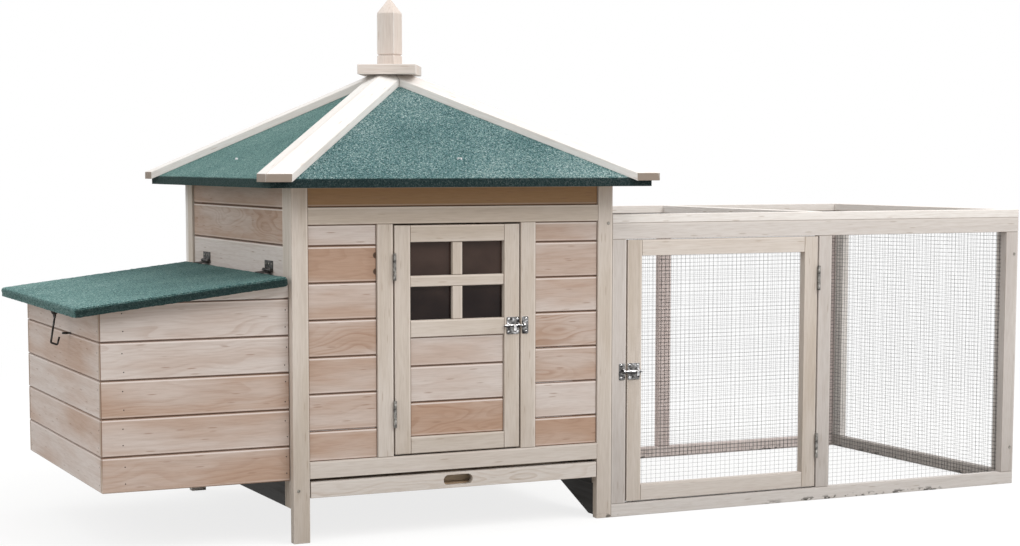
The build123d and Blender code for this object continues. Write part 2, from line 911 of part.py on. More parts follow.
# Barrel bolts: a plate with two straps on the door, a keeper on the post, a sliding bar

bolt_axis_out = bolt_sheet + bolt_lift + bolt_radius + bolt_clearance
strap_out = bolt_axis_out + bolt_radius + bolt_clearance + bolt_sheet
house_bolt_z = mid_rail_low + frame_width / 2
run_bolt_z = run_door_z
near_strap = bolt_plate_edge + bolt_strap / 2
strap_places = (near_strap, bolt_plate_width - near_strap)
lever_place = bolt_plate_edge + bolt_strap + bolt_slack + lever_radius + bolt_travel
nose_reach = door_gap + bolt_edge_gap + keeper_inset + bolt_plate_edge - bolt_end_gap
bolt_length = nose_reach + bolt_plate_width - bolt_plate_edge + bolt_travel


def strapped_plate(edge, way, z, width, straps):
    """A plate on the front face from an edge, with bored straps at the given places along it."""
    low, high = sorted((edge, edge + way * width))
    half = bolt_plate_height / 2
    block((low, front - bolt_sheet, z - half), (high, front, z + half))
    for place in straps:
        x = edge + way * place
        block(
            (x - bolt_strap / 2, front - strap_out, z - bolt_strap_height / 2),
            (x + bolt_strap / 2, front - bolt_sheet, z + bolt_strap_height / 2),
        )
    along = Plane(origin=(low, front - bolt_axis_out, z), x_dir=(0, 1, 0), z_dir=(1, 0, 0))
    with BuildSketch(along) as bore:
        Circle(bolt_radius + bolt_clearance)
    extrude(bore.sketch, amount=high - low, mode=Mode.SUBTRACT)


def bolt_bar(edge, way, z):
    """The bar at rest: drawn back so that its nose stands just short of the keeper's strap."""
    axis_y = front - bolt_axis_out
    nose = (edge + way * nose_reach, axis_y, z)
    lever_x = edge - way * lever_place
    with BuildSketch(Plane(origin=nose, x_dir=(0, 1, 0), z_dir=(-way, 0, 0))) as round_bar:
        Circle(bolt_radius)
    extrude(round_bar.sketch, amount=bolt_length)
    with BuildSketch(Plane(origin=(lever_x, axis_y, z), x_dir=(1, 0, 0), z_dir=(0, -1, 0))) as round_bar:
        Circle(lever_radius)
    extrude(round_bar.sketch, amount=bolt_lever)
    lever_top = (lever_x, axis_y - bolt_lever, z + bolt_radius + bolt_slack)
    with BuildSketch(Plane(origin=lever_top, x_dir=(1, 0, 0), z_dir=(0, 0, -1))) as round_bar:
        Circle(bolt_radius)
    extrude(round_bar.sketch, amount=bolt_lever)


house_plate_edge = door_right - bolt_edge_gap
run_plate_edge = run_door_left + bolt_edge_gap

with BuildPart() as door_bolt_plate:
    strapped_plate(house_plate_edge, -1, house_bolt_z, bolt_plate_width, strap_places)
save(door_bolt_plate, "door_bolt_plate")

with BuildPart() as run_bolt_plate:
    strapped_plate(run_plate_edge, 1, run_bolt_z, bolt_plate_width, strap_places)
save(run_bolt_plate, "run_bolt_plate")

with BuildPart() as door_bolt:
    bolt_bar(house_plate_edge, 1, house_bolt_z)
save(door_bolt, "door_bolt")

with BuildPart() as run_bolt:
    bolt_bar(run_plate_edge, -1, run_bolt_z)
save(run_bolt, "run_bolt")

with BuildPart() as bolt_keepers:
    strapped_plate(opening_right + keeper_inset, 1, house_bolt_z, keeper_width, strap_places[:1])
    run_keeper_edge = house_right + frame_width - keeper_inset
    strapped_plate(run_keeper_edge, -1, run_bolt_z, keeper_width, strap_places[:1])
save(bolt_keepers, "bolt_keepers")

# Gate hook under the lid's end, and the eye on the nest box that it drops into

hook_y = nest_middle - hook_offset
eye_root_x = lid_outer + hook_inset
eye_root = Vector(eye_root_x, hook_y, lid_under(eye_root_x))
lid_normal = Vector(*lid_up)
eye_centre = eye_root - lid_normal * (eye_shank + eye_ring)
link_height = eye_centre.Z - eye_ring + 2 * wire_radius + slide_gap
hook_ring_centre = Vector(eye_centre.X, hook_y, link_height - eye_ring)


def ring_eye(root, out, centre, ring_plane):
    """A screw eye: a shank out of a face and a round ring."""
    with BuildSketch(Plane(origin=root, z_dir=out)) as wire:
        Circle(wire_radius)
    extrude(wire.sketch, amount=eye_shank)
    with BuildSketch(ring_plane) as wire:
        with Locations((eye_ring, 0)):
            Circle(wire_radius)
    revolve(wire.sketch, axis=Axis(centre, ring_plane.y_dir))


with BuildPart() as lid_eye:
    ring_eye(
        eye_root,
        lid_normal * -1,
        eye_centre,
        Plane(origin=eye_centre, x_dir=(1, 0, 0), z_dir=(0, 0, 1)),
    )
save(lid_eye, "lid_eye")

with BuildPart() as lid_hook:
    with BuildSketch(Plane(origin=hook_ring_centre, x_dir=(0, 1, 0), z_dir=(0, 0, 1))):
        with Locations((eye_ring, 0)):
            Circle(wire_radius)
    revolve(axis=Axis(hook_ring_centre, (1, 0, 0)))
    curl = eye_ring / 2
    with BuildLine(Plane(origin=hook_ring_centre, x_dir=(1, 0, 0), z_dir=(0, -1, 0))):
        hook_path = FilletPolyline(
            (0, -eye_ring),
            (-hook_lean, -hook_length + eye_ring),
            (hook_lean / 2, -hook_length),
            (hook_lean, -hook_length + hook_tail),
            radius=curl,
        )
    with BuildSketch(Plane(origin=hook_path @ 0, z_dir=hook_path % 0)):
        Circle(wire_radius)
    sweep(path=hook_path)
save(lid_hook, "lid_hook")

with BuildPart() as catch_eye:
    catch_z = lid_under(nest_left) - catch_drop
    catch_root = Vector(nest_left, hook_y, catch_z)
    catch_centre = catch_root + Vector(-eye_shank - eye_ring, 0, 0)
    ring_eye(
        catch_root,
        Vector(-1, 0, 0),
        catch_centre,
        Plane(origin=catch_centre, x_dir=(1, 0, 0), z_dir=(0, -1, 0)),
    )
save(catch_eye, "catch_eye")

# Pop door, sliding along the house's right wall inside the run

pop_face = house_right + slide_gap
pop_low = hole_low - pop_door_lap
pop_high = hole_high + pop_door_lap
pop_width = pop_hole_width + 2 * pop_door_lap
pop_open = pop_hole[1] + pop_door_lap
groove_outer = house_right + pop_door_thickness + 2 * slide_gap
guide_outer = groove_outer + guide_lip_thickness
guide_front = pop_hole[0] - 2 * pop_door_lap
guide_back = pop_open + pop_width + pop_door_lap

with BuildPart() as pop_door_guides:
    low_ledge = pop_low - slide_gap
    high_ledge = pop_high + slide_gap
    lower = (
        (house_right, low_ledge - guide_ledge),
        (guide_outer, low_ledge - guide_ledge),
        (guide_outer, low_ledge + guide_lip),
        (groove_outer, low_ledge + guide_lip),
        (groove_outer, low_ledge),
        (house_right, low_ledge),
    )
    upper = (
        (right_skin, high_ledge + guide_ledge),
        (guide_outer, high_ledge + guide_ledge),
        (guide_outer, high_ledge - guide_lip),
        (groove_outer, high_ledge - guide_lip),
        (groove_outer, high_ledge),
        (right_skin, high_ledge),
    )
    for outline in (lower, upper):
        with BuildSketch(Plane.XZ.offset(-guide_back)):
            with BuildLine():
                Polyline(*outline, close=True)
            make_face()
        extrude(amount=guide_back - guide_front)
save(pop_door_guides, "pop_door_guides")

with BuildPart() as pop_door:
    block((pop_face, pop_open, pop_low), (pop_face + pop_door_thickness, pop_open + pop_width, pop_high))
    knob = Plane(
        origin=(pop_face + pop_door_thickness, pop_open + pop_width / 2, (pop_low + pop_high) / 2),
        z_dir=(1, 0, 0),
    )
    with BuildSketch(knob):
        Circle(knob_radius)
    extrude(amount=knob_length)
save(pop_door, "pop_door")

# Screw heads that show on the posts


def screw_head(x, y, z, way):
    """A low domed head on a face that looks along -Y or +Y."""
    with BuildSketch(Plane(origin=(x, y, z), x_dir=(1, 0, 0), z_dir=(0, way, 0))) as head:
        Circle(screw_radius)
    extrude(head.sketch, amount=screw_rise, taper=screw_taper)


with BuildPart() as frame_screws:
    heads = (
        (house_left + screw_inset, tray_middle),
        (house_right - screw_inset, run_panel_height),
        (run_right - screw_inset, top_rail_low - screw_top_drop),
        (run_right - screw_inset, run_bottom_rail + screw_foot_rise),
    )
    for x, z in heads:
        screw_head(x, front, z, -1)
        screw_head(x, back, z, 1)
save(frame_screws, "frame_screws")
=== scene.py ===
# %% [markdown]
# # A timber chicken coop with a run
#
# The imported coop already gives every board, hinge and bolt its true size and place.
# This lesson dresses it: bevelled boards with grain, gritty roofing felt, welded mesh,
# bright bolts and soft daylight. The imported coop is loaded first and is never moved.

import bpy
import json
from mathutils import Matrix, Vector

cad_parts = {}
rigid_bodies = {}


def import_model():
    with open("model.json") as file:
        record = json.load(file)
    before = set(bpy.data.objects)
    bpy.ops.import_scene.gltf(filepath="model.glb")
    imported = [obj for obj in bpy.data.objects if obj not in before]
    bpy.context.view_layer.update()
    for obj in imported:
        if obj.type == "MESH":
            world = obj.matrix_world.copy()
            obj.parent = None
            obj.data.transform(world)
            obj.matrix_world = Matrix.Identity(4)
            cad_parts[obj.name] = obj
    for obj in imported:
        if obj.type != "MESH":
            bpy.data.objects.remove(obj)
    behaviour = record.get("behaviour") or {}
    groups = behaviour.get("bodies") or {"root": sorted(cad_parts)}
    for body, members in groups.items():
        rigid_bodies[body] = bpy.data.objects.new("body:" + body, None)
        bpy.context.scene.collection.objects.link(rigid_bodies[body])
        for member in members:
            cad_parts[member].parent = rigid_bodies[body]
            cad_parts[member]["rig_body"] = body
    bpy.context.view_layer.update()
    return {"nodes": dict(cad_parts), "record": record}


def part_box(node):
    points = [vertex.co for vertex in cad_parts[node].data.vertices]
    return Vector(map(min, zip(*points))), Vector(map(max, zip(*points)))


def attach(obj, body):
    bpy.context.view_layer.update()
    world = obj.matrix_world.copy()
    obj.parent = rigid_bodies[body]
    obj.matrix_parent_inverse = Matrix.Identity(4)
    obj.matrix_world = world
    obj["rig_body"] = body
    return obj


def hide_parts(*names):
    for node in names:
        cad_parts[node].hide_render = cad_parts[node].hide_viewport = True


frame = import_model()

# %% Tools for meshes and sums
import json
import random
from math import atan, ceil, cos, degrees, pi, radians, sin, tan

import bmesh
import bpy
import numpy as np
from mathutils import Matrix, Vector, noise
from mathutils.bvhtree import BVHTree

MM = 0.001


def mm(*sizes):
    """Sizes in millimetres, as metres."""
    return [size * MM for size in sizes]


scene = bpy.context.scene
scene.view_settings.view_transform = "Standard"
draw = random.Random(41)
noise.seed_set(41)

# %% [markdown]
# ## The camera
#
# A camera can be nudged by eye until the picture looks right. Here its place and lens were
# worked out from straight edges of the coop instead, so boards land where the picture has them.
# The lens is long and the frame is shifted, because the picture was cropped off its middle.


# %% Camera
def put(name, data):
    """A new object in the scene."""
    thing = bpy.data.objects.new(name, data)
    scene.collection.objects.link(thing)
    return thing


garden_view = bpy.data.cameras.new("garden_view")
garden_view.sensor_width = 36
garden_view.lens = 69.9
garden_view.shift_x = 0.0213
garden_view.shift_y = 0.0758
camera = put("garden_view", garden_view)
camera.location = (-2.3010, -4.7265, 0.8847)
camera.rotation_euler = (radians(84.56), 0, radians(-24.97))
scene.camera = camera
print("camera stands", round(camera.location.length, 2), "m from the coop's middle")

# %% [markdown]
# ## Sums with shader sockets
#
# Every finish below is a small sum of noises and masks. Math nodes wired by hand are slow to read, so
# one class wraps a socket: plain Python sums on it add the nodes. Colours and vectors have their own
# methods, and any other node comes from `node`.


# %% Socket class
def sums(operation, swapped=False):
    """The method of one Python operator: it adds a Math node."""

    def method(self, other):
        pair = (other, self) if swapped else (self, other)
        return self.node("ShaderNodeMath", {"operation": operation}, dict(enumerate(pair)))

    return method


class Value:
    """A shader socket that takes part in Python sums."""

    def __init__(self, socket):
        self.socket = socket

    def node(self, kind, settings=None, inputs=None, out=0):
        """Any node: its type, its settings, then the values or links of its sockets."""
        tree = self.socket.id_data
        made = tree.nodes.new(kind)
        for name, value in (settings or {}).items():
            setattr(made, name, value)
        for name, value in (inputs or {}).items():
            if isinstance(value, Value):
                tree.links.new(value.socket, made.inputs[name])
            else:
                made.inputs[name].default_value = value
        if isinstance(out, tuple):
            return tuple(Value(made.outputs[name]) for name in out)
        return Value(made.outputs[out])

    __add__ = __radd__ = sums("ADD")
    __mul__ = __rmul__ = sums("MULTIPLY")
    __sub__, __rsub__ = sums("SUBTRACT"), sums("SUBTRACT", True)
    __truediv__, __rtruediv__ = sums("DIVIDE"), sums("DIVIDE", True)
    __lt__, __gt__ = sums("LESS_THAN"), sums("LESS_THAN", True)

    def maths(self, operation, *others):
        return self.node("ShaderNodeMath", {"operation": operation}, dict(enumerate([self, *others])))

    def vector(self, operation, *others, out=0):
        inputs = dict(enumerate([self, *others]))
        return self.node("ShaderNodeVectorMath", {"operation": operation}, inputs, out)

    def parts(self):
        return self.node("ShaderNodeSeparateXYZ", None, {0: self}, (0, 1, 2))

    def coords(self, kind):
        """A point's place on its object, or its facing."""
        return self.node("ShaderNodeTexCoord", out=kind)

    def fade(self, low, high):
        """0 below low, 1 above high, and a soft step between."""
        limits = {"Value": self, "From Min": low, "From Max": high}
        return self.node("ShaderNodeMapRange", {"interpolation_type": "SMOOTHSTEP"}, limits)

    def stretched(self, scale):
        """Sockets of a texture with one scale, or one for each axis."""
        scales = scale if isinstance(scale, tuple) else (scale,) * 3
        return {"Vector": self.vector("MULTIPLY", scales), "Scale": 1.0}

    def cloud(self, scale, detail=2.0):
        """Soft noise."""
        return self.node("ShaderNodeTexNoise", None, {**self.stretched(scale), "Detail": detail})

    def cells(self, scale):
        """Distance to the nearest of many scattered grains, and that grain's own chance."""
        outputs = ("Distance", "Color")
        gap, colour = self.node("ShaderNodeTexVoronoi", None, self.stretched(scale), outputs)
        return gap, colour.parts()[0]

    def bump(self, strength, depth):
        """A surface normal that makes this height look raised."""
        inputs = {"Strength": strength, "Distance": depth, "Height": self}
        return self.node("ShaderNodeBump", None, inputs)

    def tint(self, off, on):
        """One colour where this mask is 0, another where it is 1."""
        inputs = {0: self}
        for place, colour in ((6, off), (7, on)):
            inputs[place] = colour if isinstance(colour, Value) else (*colour, 1.0)
        return self.node("ShaderNodeMix", {"data_type": "RGBA"}, inputs, 2)


def new_finish(name):
    """A material, its surface shader, and a first socket to build on."""
    finish = bpy.data.materials.new(name)
    finish.use_nodes = True
    shader = finish.node_tree.nodes["Principled BSDF"]
    return finish, shader, Value(shader.outputs[0])


def feed(shader, **sockets):
    """Link or set sockets of a surface shader, with underscores for spaces."""
    for name, value in sockets.items():
        into = shader.inputs[name.replace("_", " ")]
        if isinstance(value, Value):
            shader.id_data.links.new(value.socket, into)
        else:
            into.default_value = value


print("shader sums ready")

# %% [markdown]
# ## Daylight, floor and background
#
# The coop stands in even daylight on a white ground. Rays from the camera, metal or glass see plain
# white; the coop is lit by a sky that is brighter overhead and by two broad lamps. The floor is mostly
# self-white to the camera and partly shaded, which leaves it a soft shadow.


# %% Sky and lamps
def seen_ray(here):
    """1 for camera, mirror and glass rays."""
    rays = ("Is Camera Ray", "Is Glossy Ray", "Is Transmission Ray")
    camera_ray, mirror_ray, glass_ray = here.node("ShaderNodeLightPath", out=rays)
    return camera_ray.maths("MAXIMUM", mirror_ray).maths("MAXIMUM", glass_ray)


white = (1.0, 1.0, 1.0)
sky_level = 0.64
sky_low, sky_overhead = (0.56, 0.55, 0.53), (2.25, 2.25, 2.23)
sky = bpy.data.worlds.new("daylight")
scene.world = sky
sky.use_nodes = True
sky_shader = sky.node_tree.nodes["Background"]
here = Value(sky_shader.outputs[0])
shown = seen_ray(here)
overhead = here.coords("Generated").parts()[2].maths("MAXIMUM", 0.0)
glow = overhead.tint(sky_low, sky_overhead)
feed(sky_shader, Color=shown.tint(glow, white), Strength=shown * (1 - sky_level) + sky_level)
lamp_aim = Vector((0, 0, 0.5))
lamps = {
    "soft_sun": ((2.2, -3.9, 5.5), 5.0, 245, (1.0, 0.98, 0.95)),
    "left_fill": ((-5.0, -1.6, 2.6), 3.0, 44, (0.97, 0.97, 0.95)),
}
for name, (place, size, watts, colour) in lamps.items():
    light = bpy.data.lights.new(name, "AREA")
    light.shape = "DISK"
    light.size = size
    light.energy = watts
    light.color = colour
    lamp = put(name, light)
    lamp.location = place
    lamp.rotation_euler = (lamp_aim - lamp.location).to_track_quat("-Z", "Y").to_euler()
print(len(lamps), "lamps and a sky at", sky_level)

# %% Floor
floor_reach, floor_drop, floor_white = 40.0, 0.5 * MM, 0.8
corner_ways = ((-1, -1), (1, -1), (1, 1), (-1, 1))
floor_mesh = bpy.data.meshes.new("ground")
floor_corners = [(x * floor_reach, y * floor_reach, 0) for x, y in corner_ways]
floor_mesh.from_pydata(floor_corners, [], [(0, 1, 2, 3)])
ground = put("ground", floor_mesh)
ground.location.z = -floor_drop
ground_finish, ground_shader, here = new_finish("white_ground")
ground_colour = seen_ray(here).tint((0.40, 0.388, 0.37), (0.9, 0.9, 0.9))
feed(ground_shader, Base_Color=ground_colour, Roughness=1.0, Specular_IOR_Level=0.0)
self_white = here.node("ShaderNodeEmission", None, {"Color": (*white, 1.0), "Strength": 1.0})
away = here.coords("Object").vector("LENGTH", out=1)
share = seen_ray(here) * (away.fade(1.6, 4.0) * (1 - floor_white) + floor_white)
pictured = here.node("ShaderNodeMixShader", None, {0: share, 1: here, 2: self_white})
ground_out = ground_finish.node_tree.nodes["Material Output"].inputs["Surface"]
ground_finish.node_tree.links.new(pictured.socket, ground_out)
floor_mesh.materials.append(ground_finish)
print("floor is", 2 * floor_reach, "m wide")

# %% [markdown]
# ## Fir finishes
#
# Planed fir is pale, with warm flushes, pores, and rings that close to eyes where the saw ran along
# them. A picture of wood round each board would repeat. Instead each board carries its own data:
# `place` along, across and through it, its `half` size, a random `seed`, the way its fibres `run`, a
# `knot` if it has one, its `tone`, the `seam` where another board meets it, and how `bold` its figure
# is. Rings are distances from the tree's heart, so faces and ends agree.


# %% Fir
def times(colour, share):
    """A colour made darker or lighter."""
    return tuple(min(1.0, share * c) for c in colour)


def distance(a, b):
    return (a * a + b * b).maths("SQRT")


vector_data = ("place", "half", "seed", "run", "knot")
number_data = ("tone", "seam", "bold")
sawn_end = (0.46, 0.40, 0.34)
stained_brown, bleach_and_painted_light = (0.345, 0.21, 0.105), (0.86, 0.83, 0.81)
mud = (0.06, 0.055, 0.045)


def fir(
    name, pale, warm, dark, figure=0.3, ring_gap=6.5 * MM, ends=sawn_end,
    ease_mm=1.2, seam_shade_and_highlight=0.4, darker_below=0.0,
):
    """A planed fir finish; figure says how clear its rings are, and the last argument how much darker
    the wood turns towards the bottom.
    """
    finish, shader, here = new_finish(name)

    def carried(key, kind):
        return here.node("ShaderNodeAttribute", {"attribute_name": key}, out=kind)

    place, half, seed, run, knot_place = (carried(key, "Vector") for key in vector_data)
    tone, seam, bold = (carried(key, "Fac") for key in number_data)
    along, across, through = place.parts()
    first, second, third = seed.parts()
    own = seed.vector("MULTIPLY_ADD", (37.0, 37.0, 37.0), place)

    # Rings swirl round a dark knot.
    knot_along, knot_across, knot_radius = knot_place.parts()
    off = distance(along - knot_along, across.maths("ABSOLUTE") - knot_across)
    knot = (knot_radius - off).fade(-2.0 * MM, 1.0 * MM)
    swirl = (knot_radius * 5.0 - off).fade(0.0, 0.03)

    # The heart lies beside and below the board, and each ring ends in the dark late wood of its year.
    wander = own.cloud((1.6, 8.0, 8.0)) - 0.5
    swell = own.cloud((5.0, 17.0, 17.0), 1.0) - 0.5
    side_lean = along * ((third - 0.5) * 0.12)
    down_lean = along * ((first - 0.5) * 0.07)
    eyes = bold.maths("MINIMUM", 1.5) * (swell * 0.05 + 0.04)
    side = across - (first - 0.5) * 0.13 + side_lean + wander * 0.014 + swirl * 0.012
    depth = through + second * 0.09 + 0.02 + down_lean + eyes
    ring = distance(side, depth) / ring_gap
    counted = {"W": ring.maths("FLOOR") + first * 9.0}
    year = ring.node("ShaderNodeTexWhiteNoise", {"noise_dimensions": "1D"}, counted)
    band = ring.maths("FRACT")
    late = band.fade(0.35, 0.88) * (1 - band.fade(0.9, 1.0)) * (year * 0.8 + 0.2)

    # Broad flushes and streaks, fine pores and fibres, scattered flecks.
    flush = own.cloud((2.6, 12.0, 12.0), 3.0).fade(0.34, 0.66)
    streak = own.cloud((3.0, 70.0, 70.0), 3.0).fade(0.45, 0.7)
    pore = own.cloud((26.0, 400.0, 400.0), 3.0).fade(0.36, 0.72)
    fibre = own.cloud((40.0, 1400.0, 1400.0), 2.0)
    gap, chance = own.cells((15.0, 130.0, 130.0))
    fleck = (chance < 0.3) * (1 - gap.fade(0.1, 0.24))

    # A tone above 1 gives a deep brown stain; one below 0 is paler, partly bleach and partly painted
    # light that lifts the shade on some boards.
    warmth = tone + (flush - 0.5) * 0.5
    colour = warmth.fade(-0.1, 1.1).tint(pale, warm)
    colour = tone.fade(1.0, 2.0).tint(colour, stained_brown)
    colour = (0 - tone).fade(0.0, 1.0).tint(colour, bleach_and_painted_light)
    colour = (streak * (0.4 * figure)).tint(colour, times(warm, 0.82))
    colour = (late * (flush * 0.4 + 0.4) * (bold * 0.9 + 0.25) * figure).tint(colour, dark)
    colour = (pore * 0.5).tint(colour, colour.vector("MULTIPLY", (0.82, 0.79, 0.76)))
    colour = (fleck * 0.5).tint(colour, times(dark, 0.8))
    colour = (swirl * 0.35).tint(colour, times(dark, 0.8))
    colour = knot.tint(colour, times(dark, 0.22))

    # Dark end grain, pale arrises that are partly wear and partly a painted highlight, painted shade in
    # the joints, and a painted highlight on the rounded edge beside them.
    end = here.coords("Normal").vector("DOT_PRODUCT", run, out=1).maths("ABSOLUTE").fade(0.35, 0.5)
    colour = (end * 0.9).tint(colour, ends)
    near_x, near_y, near_z = half.vector("SUBTRACT", place.vector("ABSOLUTE")).parts()
    near = near_x.maths("MAXIMUM", near_y).maths("MINIMUM", near_z)
    near = near_x.maths("MINIMUM", near_y).maths("MAXIMUM", near)
    eased = ease_mm * MM
    # Pale arrises: partly wear, partly a painted highlight where edges catch the light.
    arris_wear_and_highlight = 1 - near.fade(0.2 * MM, 3.0 * MM)
    colour = (arris_wear_and_highlight * (1 - seam) * 0.45).tint(colour, times(pale, 1.16))
    # A painted highlight on the rounded edge beside a seam, stronger on the board's upper side.
    lip_highlight = near_y.fade(0.8 * eased, 1.2 * eased) * (1 - near_y.fade(eased + 1.5 * MM, eased + 4.5 * MM))
    upper = across.fade(-5.0 * MM, 5.0 * MM) * 0.7 + 0.3
    colour = (lip_highlight * seam * upper * seam_shade_and_highlight).tint(colour, times(pale, 1.25))
    # Painted shade along the seams between boards.
    joint_shade = seam * (1 - near.fade(0.6 * eased, 1.1 * eased))
    colour = (joint_shade * seam_shade_and_highlight).tint(colour, times(dark, 0.55))

    # Mud on the feet, and the wood darker towards the bottom, below half a metre.
    spot = here.coords("Object")
    height = spot.parts()[2]
    foot = (1 - height.fade(0.003, 0.014)) * spot.cloud((60.0, 60.0, 140.0), 4.0).fade(0.53, 0.58)
    foot = foot * spot.cloud(4.0, 1.0).fade(0.5, 0.56)
    colour = (foot * 0.9).tint(colour, mud)
    colour = colour.vector("MULTIPLY", height.fade(0.0, 0.5) * darker_below + (1 - darker_below))

    relief = (fibre * 0.5 + late * 0.3 - knot * 0.4).bump(0.35, 0.4 * MM)
    feed(shader, Base_Color=colour, Roughness=streak * 0.12 + fibre * 0.14 + 0.55, Normal=relief)
    feed(shader, Specular_IOR_Level=0.3)
    return finish


print("fir finish reads", ", ".join(vector_data + number_data))

# %% Kinds of fir
fir_kinds = {
    "pale_fir": ((0.69, 0.63, 0.585), (0.54, 0.465, 0.395), (0.46, 0.35, 0.26), dict(darker_below=0.16)),
    "fir_planks": (
        (0.64, 0.575, 0.545), (0.447, 0.30, 0.222), (0.32, 0.18, 0.115),
        dict(figure=0.36, ring_gap=6.0 * MM, ends=(0.46, 0.36, 0.28), ease_mm=2.5, seam_shade_and_highlight=0.85),
    ),
    "run_fir": ((0.62, 0.575, 0.55), (0.46, 0.42, 0.40), (0.42, 0.34, 0.27), dict(darker_below=0.16)),
    # back_fir is paler as painted light, for the run's back frame in shade.
    "back_fir": ((0.83, 0.72, 0.70), (0.74, 0.61, 0.58), (0.52, 0.38, 0.33), {}),
    # roof_timber's very dark ends are partly end grain and partly painted shade on the caps' end facets.
    "roof_timber": (
        (0.78, 0.765, 0.75), (0.71, 0.63, 0.58), (0.60, 0.46, 0.38),
        dict(ring_gap=6.0 * MM, ends=(0.235, 0.18, 0.14), ease_mm=1.5, seam_shade_and_highlight=0.2),
    ),
    "plywood": (
        (0.58, 0.46, 0.33), (0.46, 0.33, 0.21), (0.34, 0.22, 0.13),
        dict(figure=0.5, ring_gap=14.0 * MM, ends=(0.40, 0.29, 0.19)),
    ),
    # dark_timber is near-black as painted shade, for the braces by the right-hand feet and the low
    # side-wall boards under the house.
    "dark_timber": (
        (0.026, 0.024, 0.021), (0.018, 0.016, 0.014), (0.01, 0.009, 0.008),
        dict(figure=0.4, ring_gap=7.0 * MM, ends=(0.018, 0.016, 0.014)),
    ),
}
fir_looks = {name: fir(name, *colours, **rest) for name, (*colours, rest) in fir_kinds.items()}
print("fir finishes:", ", ".join(fir_looks))

# %% [markdown]
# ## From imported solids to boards
#
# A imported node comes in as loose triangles. Welding them and dissolving flat seams gives whole faces
# again, and then every sharp edge can be eased, as a plane or sandpaper leaves it on real timber. Each
# board of a node is found as a separate island, and gets the data that its finish needs.


# %% Board helpers
slot_of = {row["node"]: row["material_slot"] for row in frame["record"]["subparts"]}
body_of = {node: thing["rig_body"] for node, thing in frame["nodes"].items()}
weld_gap = 0.02 * MM
flat_angle, sharp_angle = radians(1), radians(30)


def solid_of(node):
    """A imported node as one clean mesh: welded, with its flat faces whole."""
    made = bmesh.new()
    made.from_mesh(frame["nodes"][node].data)
    bmesh.ops.remove_doubles(made, verts=made.verts, dist=weld_gap)
    bmesh.ops.dissolve_limit(made, angle_limit=flat_angle, verts=made.verts, edges=made.edges)
    return made


def ease(made, width):
    """Round over every sharp edge, and clear the needle faces that this leaves at a point."""
    sharp = [e for e in made.edges if e.is_manifold and e.calc_face_angle() > sharp_angle]
    rounding = {"offset": width, "segments": 2, "profile": 0.5, "clamp_overlap": True}
    bmesh.ops.bevel(made, geom=sharp, affect="EDGES", **rounding)
    bmesh.ops.remove_doubles(made, verts=made.verts, dist=weld_gap)


def middle_of(group):
    return [(min(v.co[k] for v in group) + max(v.co[k] for v in group)) / 2 for k in range(3)]


def islands(made):
    """The separate pieces of a mesh, in order of place."""
    left, found = set(made.verts), []
    for start in made.verts:
        if start not in left:
            continue
        left.discard(start)
        group = [start]
        for vert in group:
            ahead = [edge.other_vert(vert) for edge in vert.link_edges]
            group += [other for other in ahead if other in left]
            left.difference_update(ahead)
        found.append(group)
    return sorted(found, key=lambda group: [round(c, 2) for c in middle_of(group)])


def piece(name, made, finishes, body, nodes=(), smooth=None):
    """Turn a mesh in the making into a named piece that rides on a body."""
    mesh = bpy.data.meshes.new(name)
    bmesh.ops.recalc_face_normals(made, faces=made.faces)
    made.to_mesh(mesh)
    made.free()
    for finish in finishes:
        mesh.materials.append(finish)
    if smooth:
        mesh.shade_smooth()
        mesh.set_sharp_from_angle(angle=radians(smooth))
    thing = put(name, mesh)
    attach(thing, body)
    if nodes:
        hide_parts(*nodes)
    return thing


def stand_in(node, kind, made, finishes, smooth):
    """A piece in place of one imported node."""
    return piece(f"{node}_{kind}", made, finishes, body_of[node], [node], smooth)


print("board helpers ready")


# %% All boards
def faces_of(group):
    return {face for vert in group for face in vert.link_faces}


def number_boards(made):
    """Mark the faces of each board with the board's number."""
    for k, group in enumerate(islands(made)):
        for face in faces_of(group):
            face.material_index = k


corners, faces, board_of = [], [], []
for node, slot in slot_of.items():
    if slot not in fir_looks:
        continue
    made = solid_of(node)
    number_boards(made)
    bmesh.ops.triangulate(made, faces=made.faces)
    made.verts.index_update()
    faces += [[v.index + len(corners) for v in face.verts] for face in made.faces]
    board_of += [(node, face.material_index) for face in made.faces]
    corners += [v.co.copy() for v in made.verts]
    made.free()
every_board = BVHTree.FromPolygons(corners, faces)
print(len(set(board_of)), "boards in all")


# %% Timber
def edge_rank(edge):
    a, b = (vert.co for vert in edge.verts)
    return round(edge.calc_length(), 4), round(abs(a.x - b.x), 4)


def face_rank(face):
    return round(face.calc_area(), 6), round(face.normal.y, 4), round(face.normal.z, 4)


def board_axes(group):
    """Along, across and through one board: its longest edge, and the normal of its widest face."""
    longest = max({edge for vert in group for edge in vert.link_edges}, key=edge_rank)
    widest = max(faces_of(group), key=face_rank)
    along = (longest.verts[1].co - longest.verts[0].co).normalized()
    through = (widest.normal - along * widest.normal.dot(along)).normalized()
    axes = np.array([along, through.cross(along), through])
    biggest = axes[range(3), np.abs(axes).argmax(1)]
    return axes * np.sign(biggest)[:, None]


no_knot = (9.0, 0.0, 0.0)
quiet = 0.4
joint_reach = 1.3


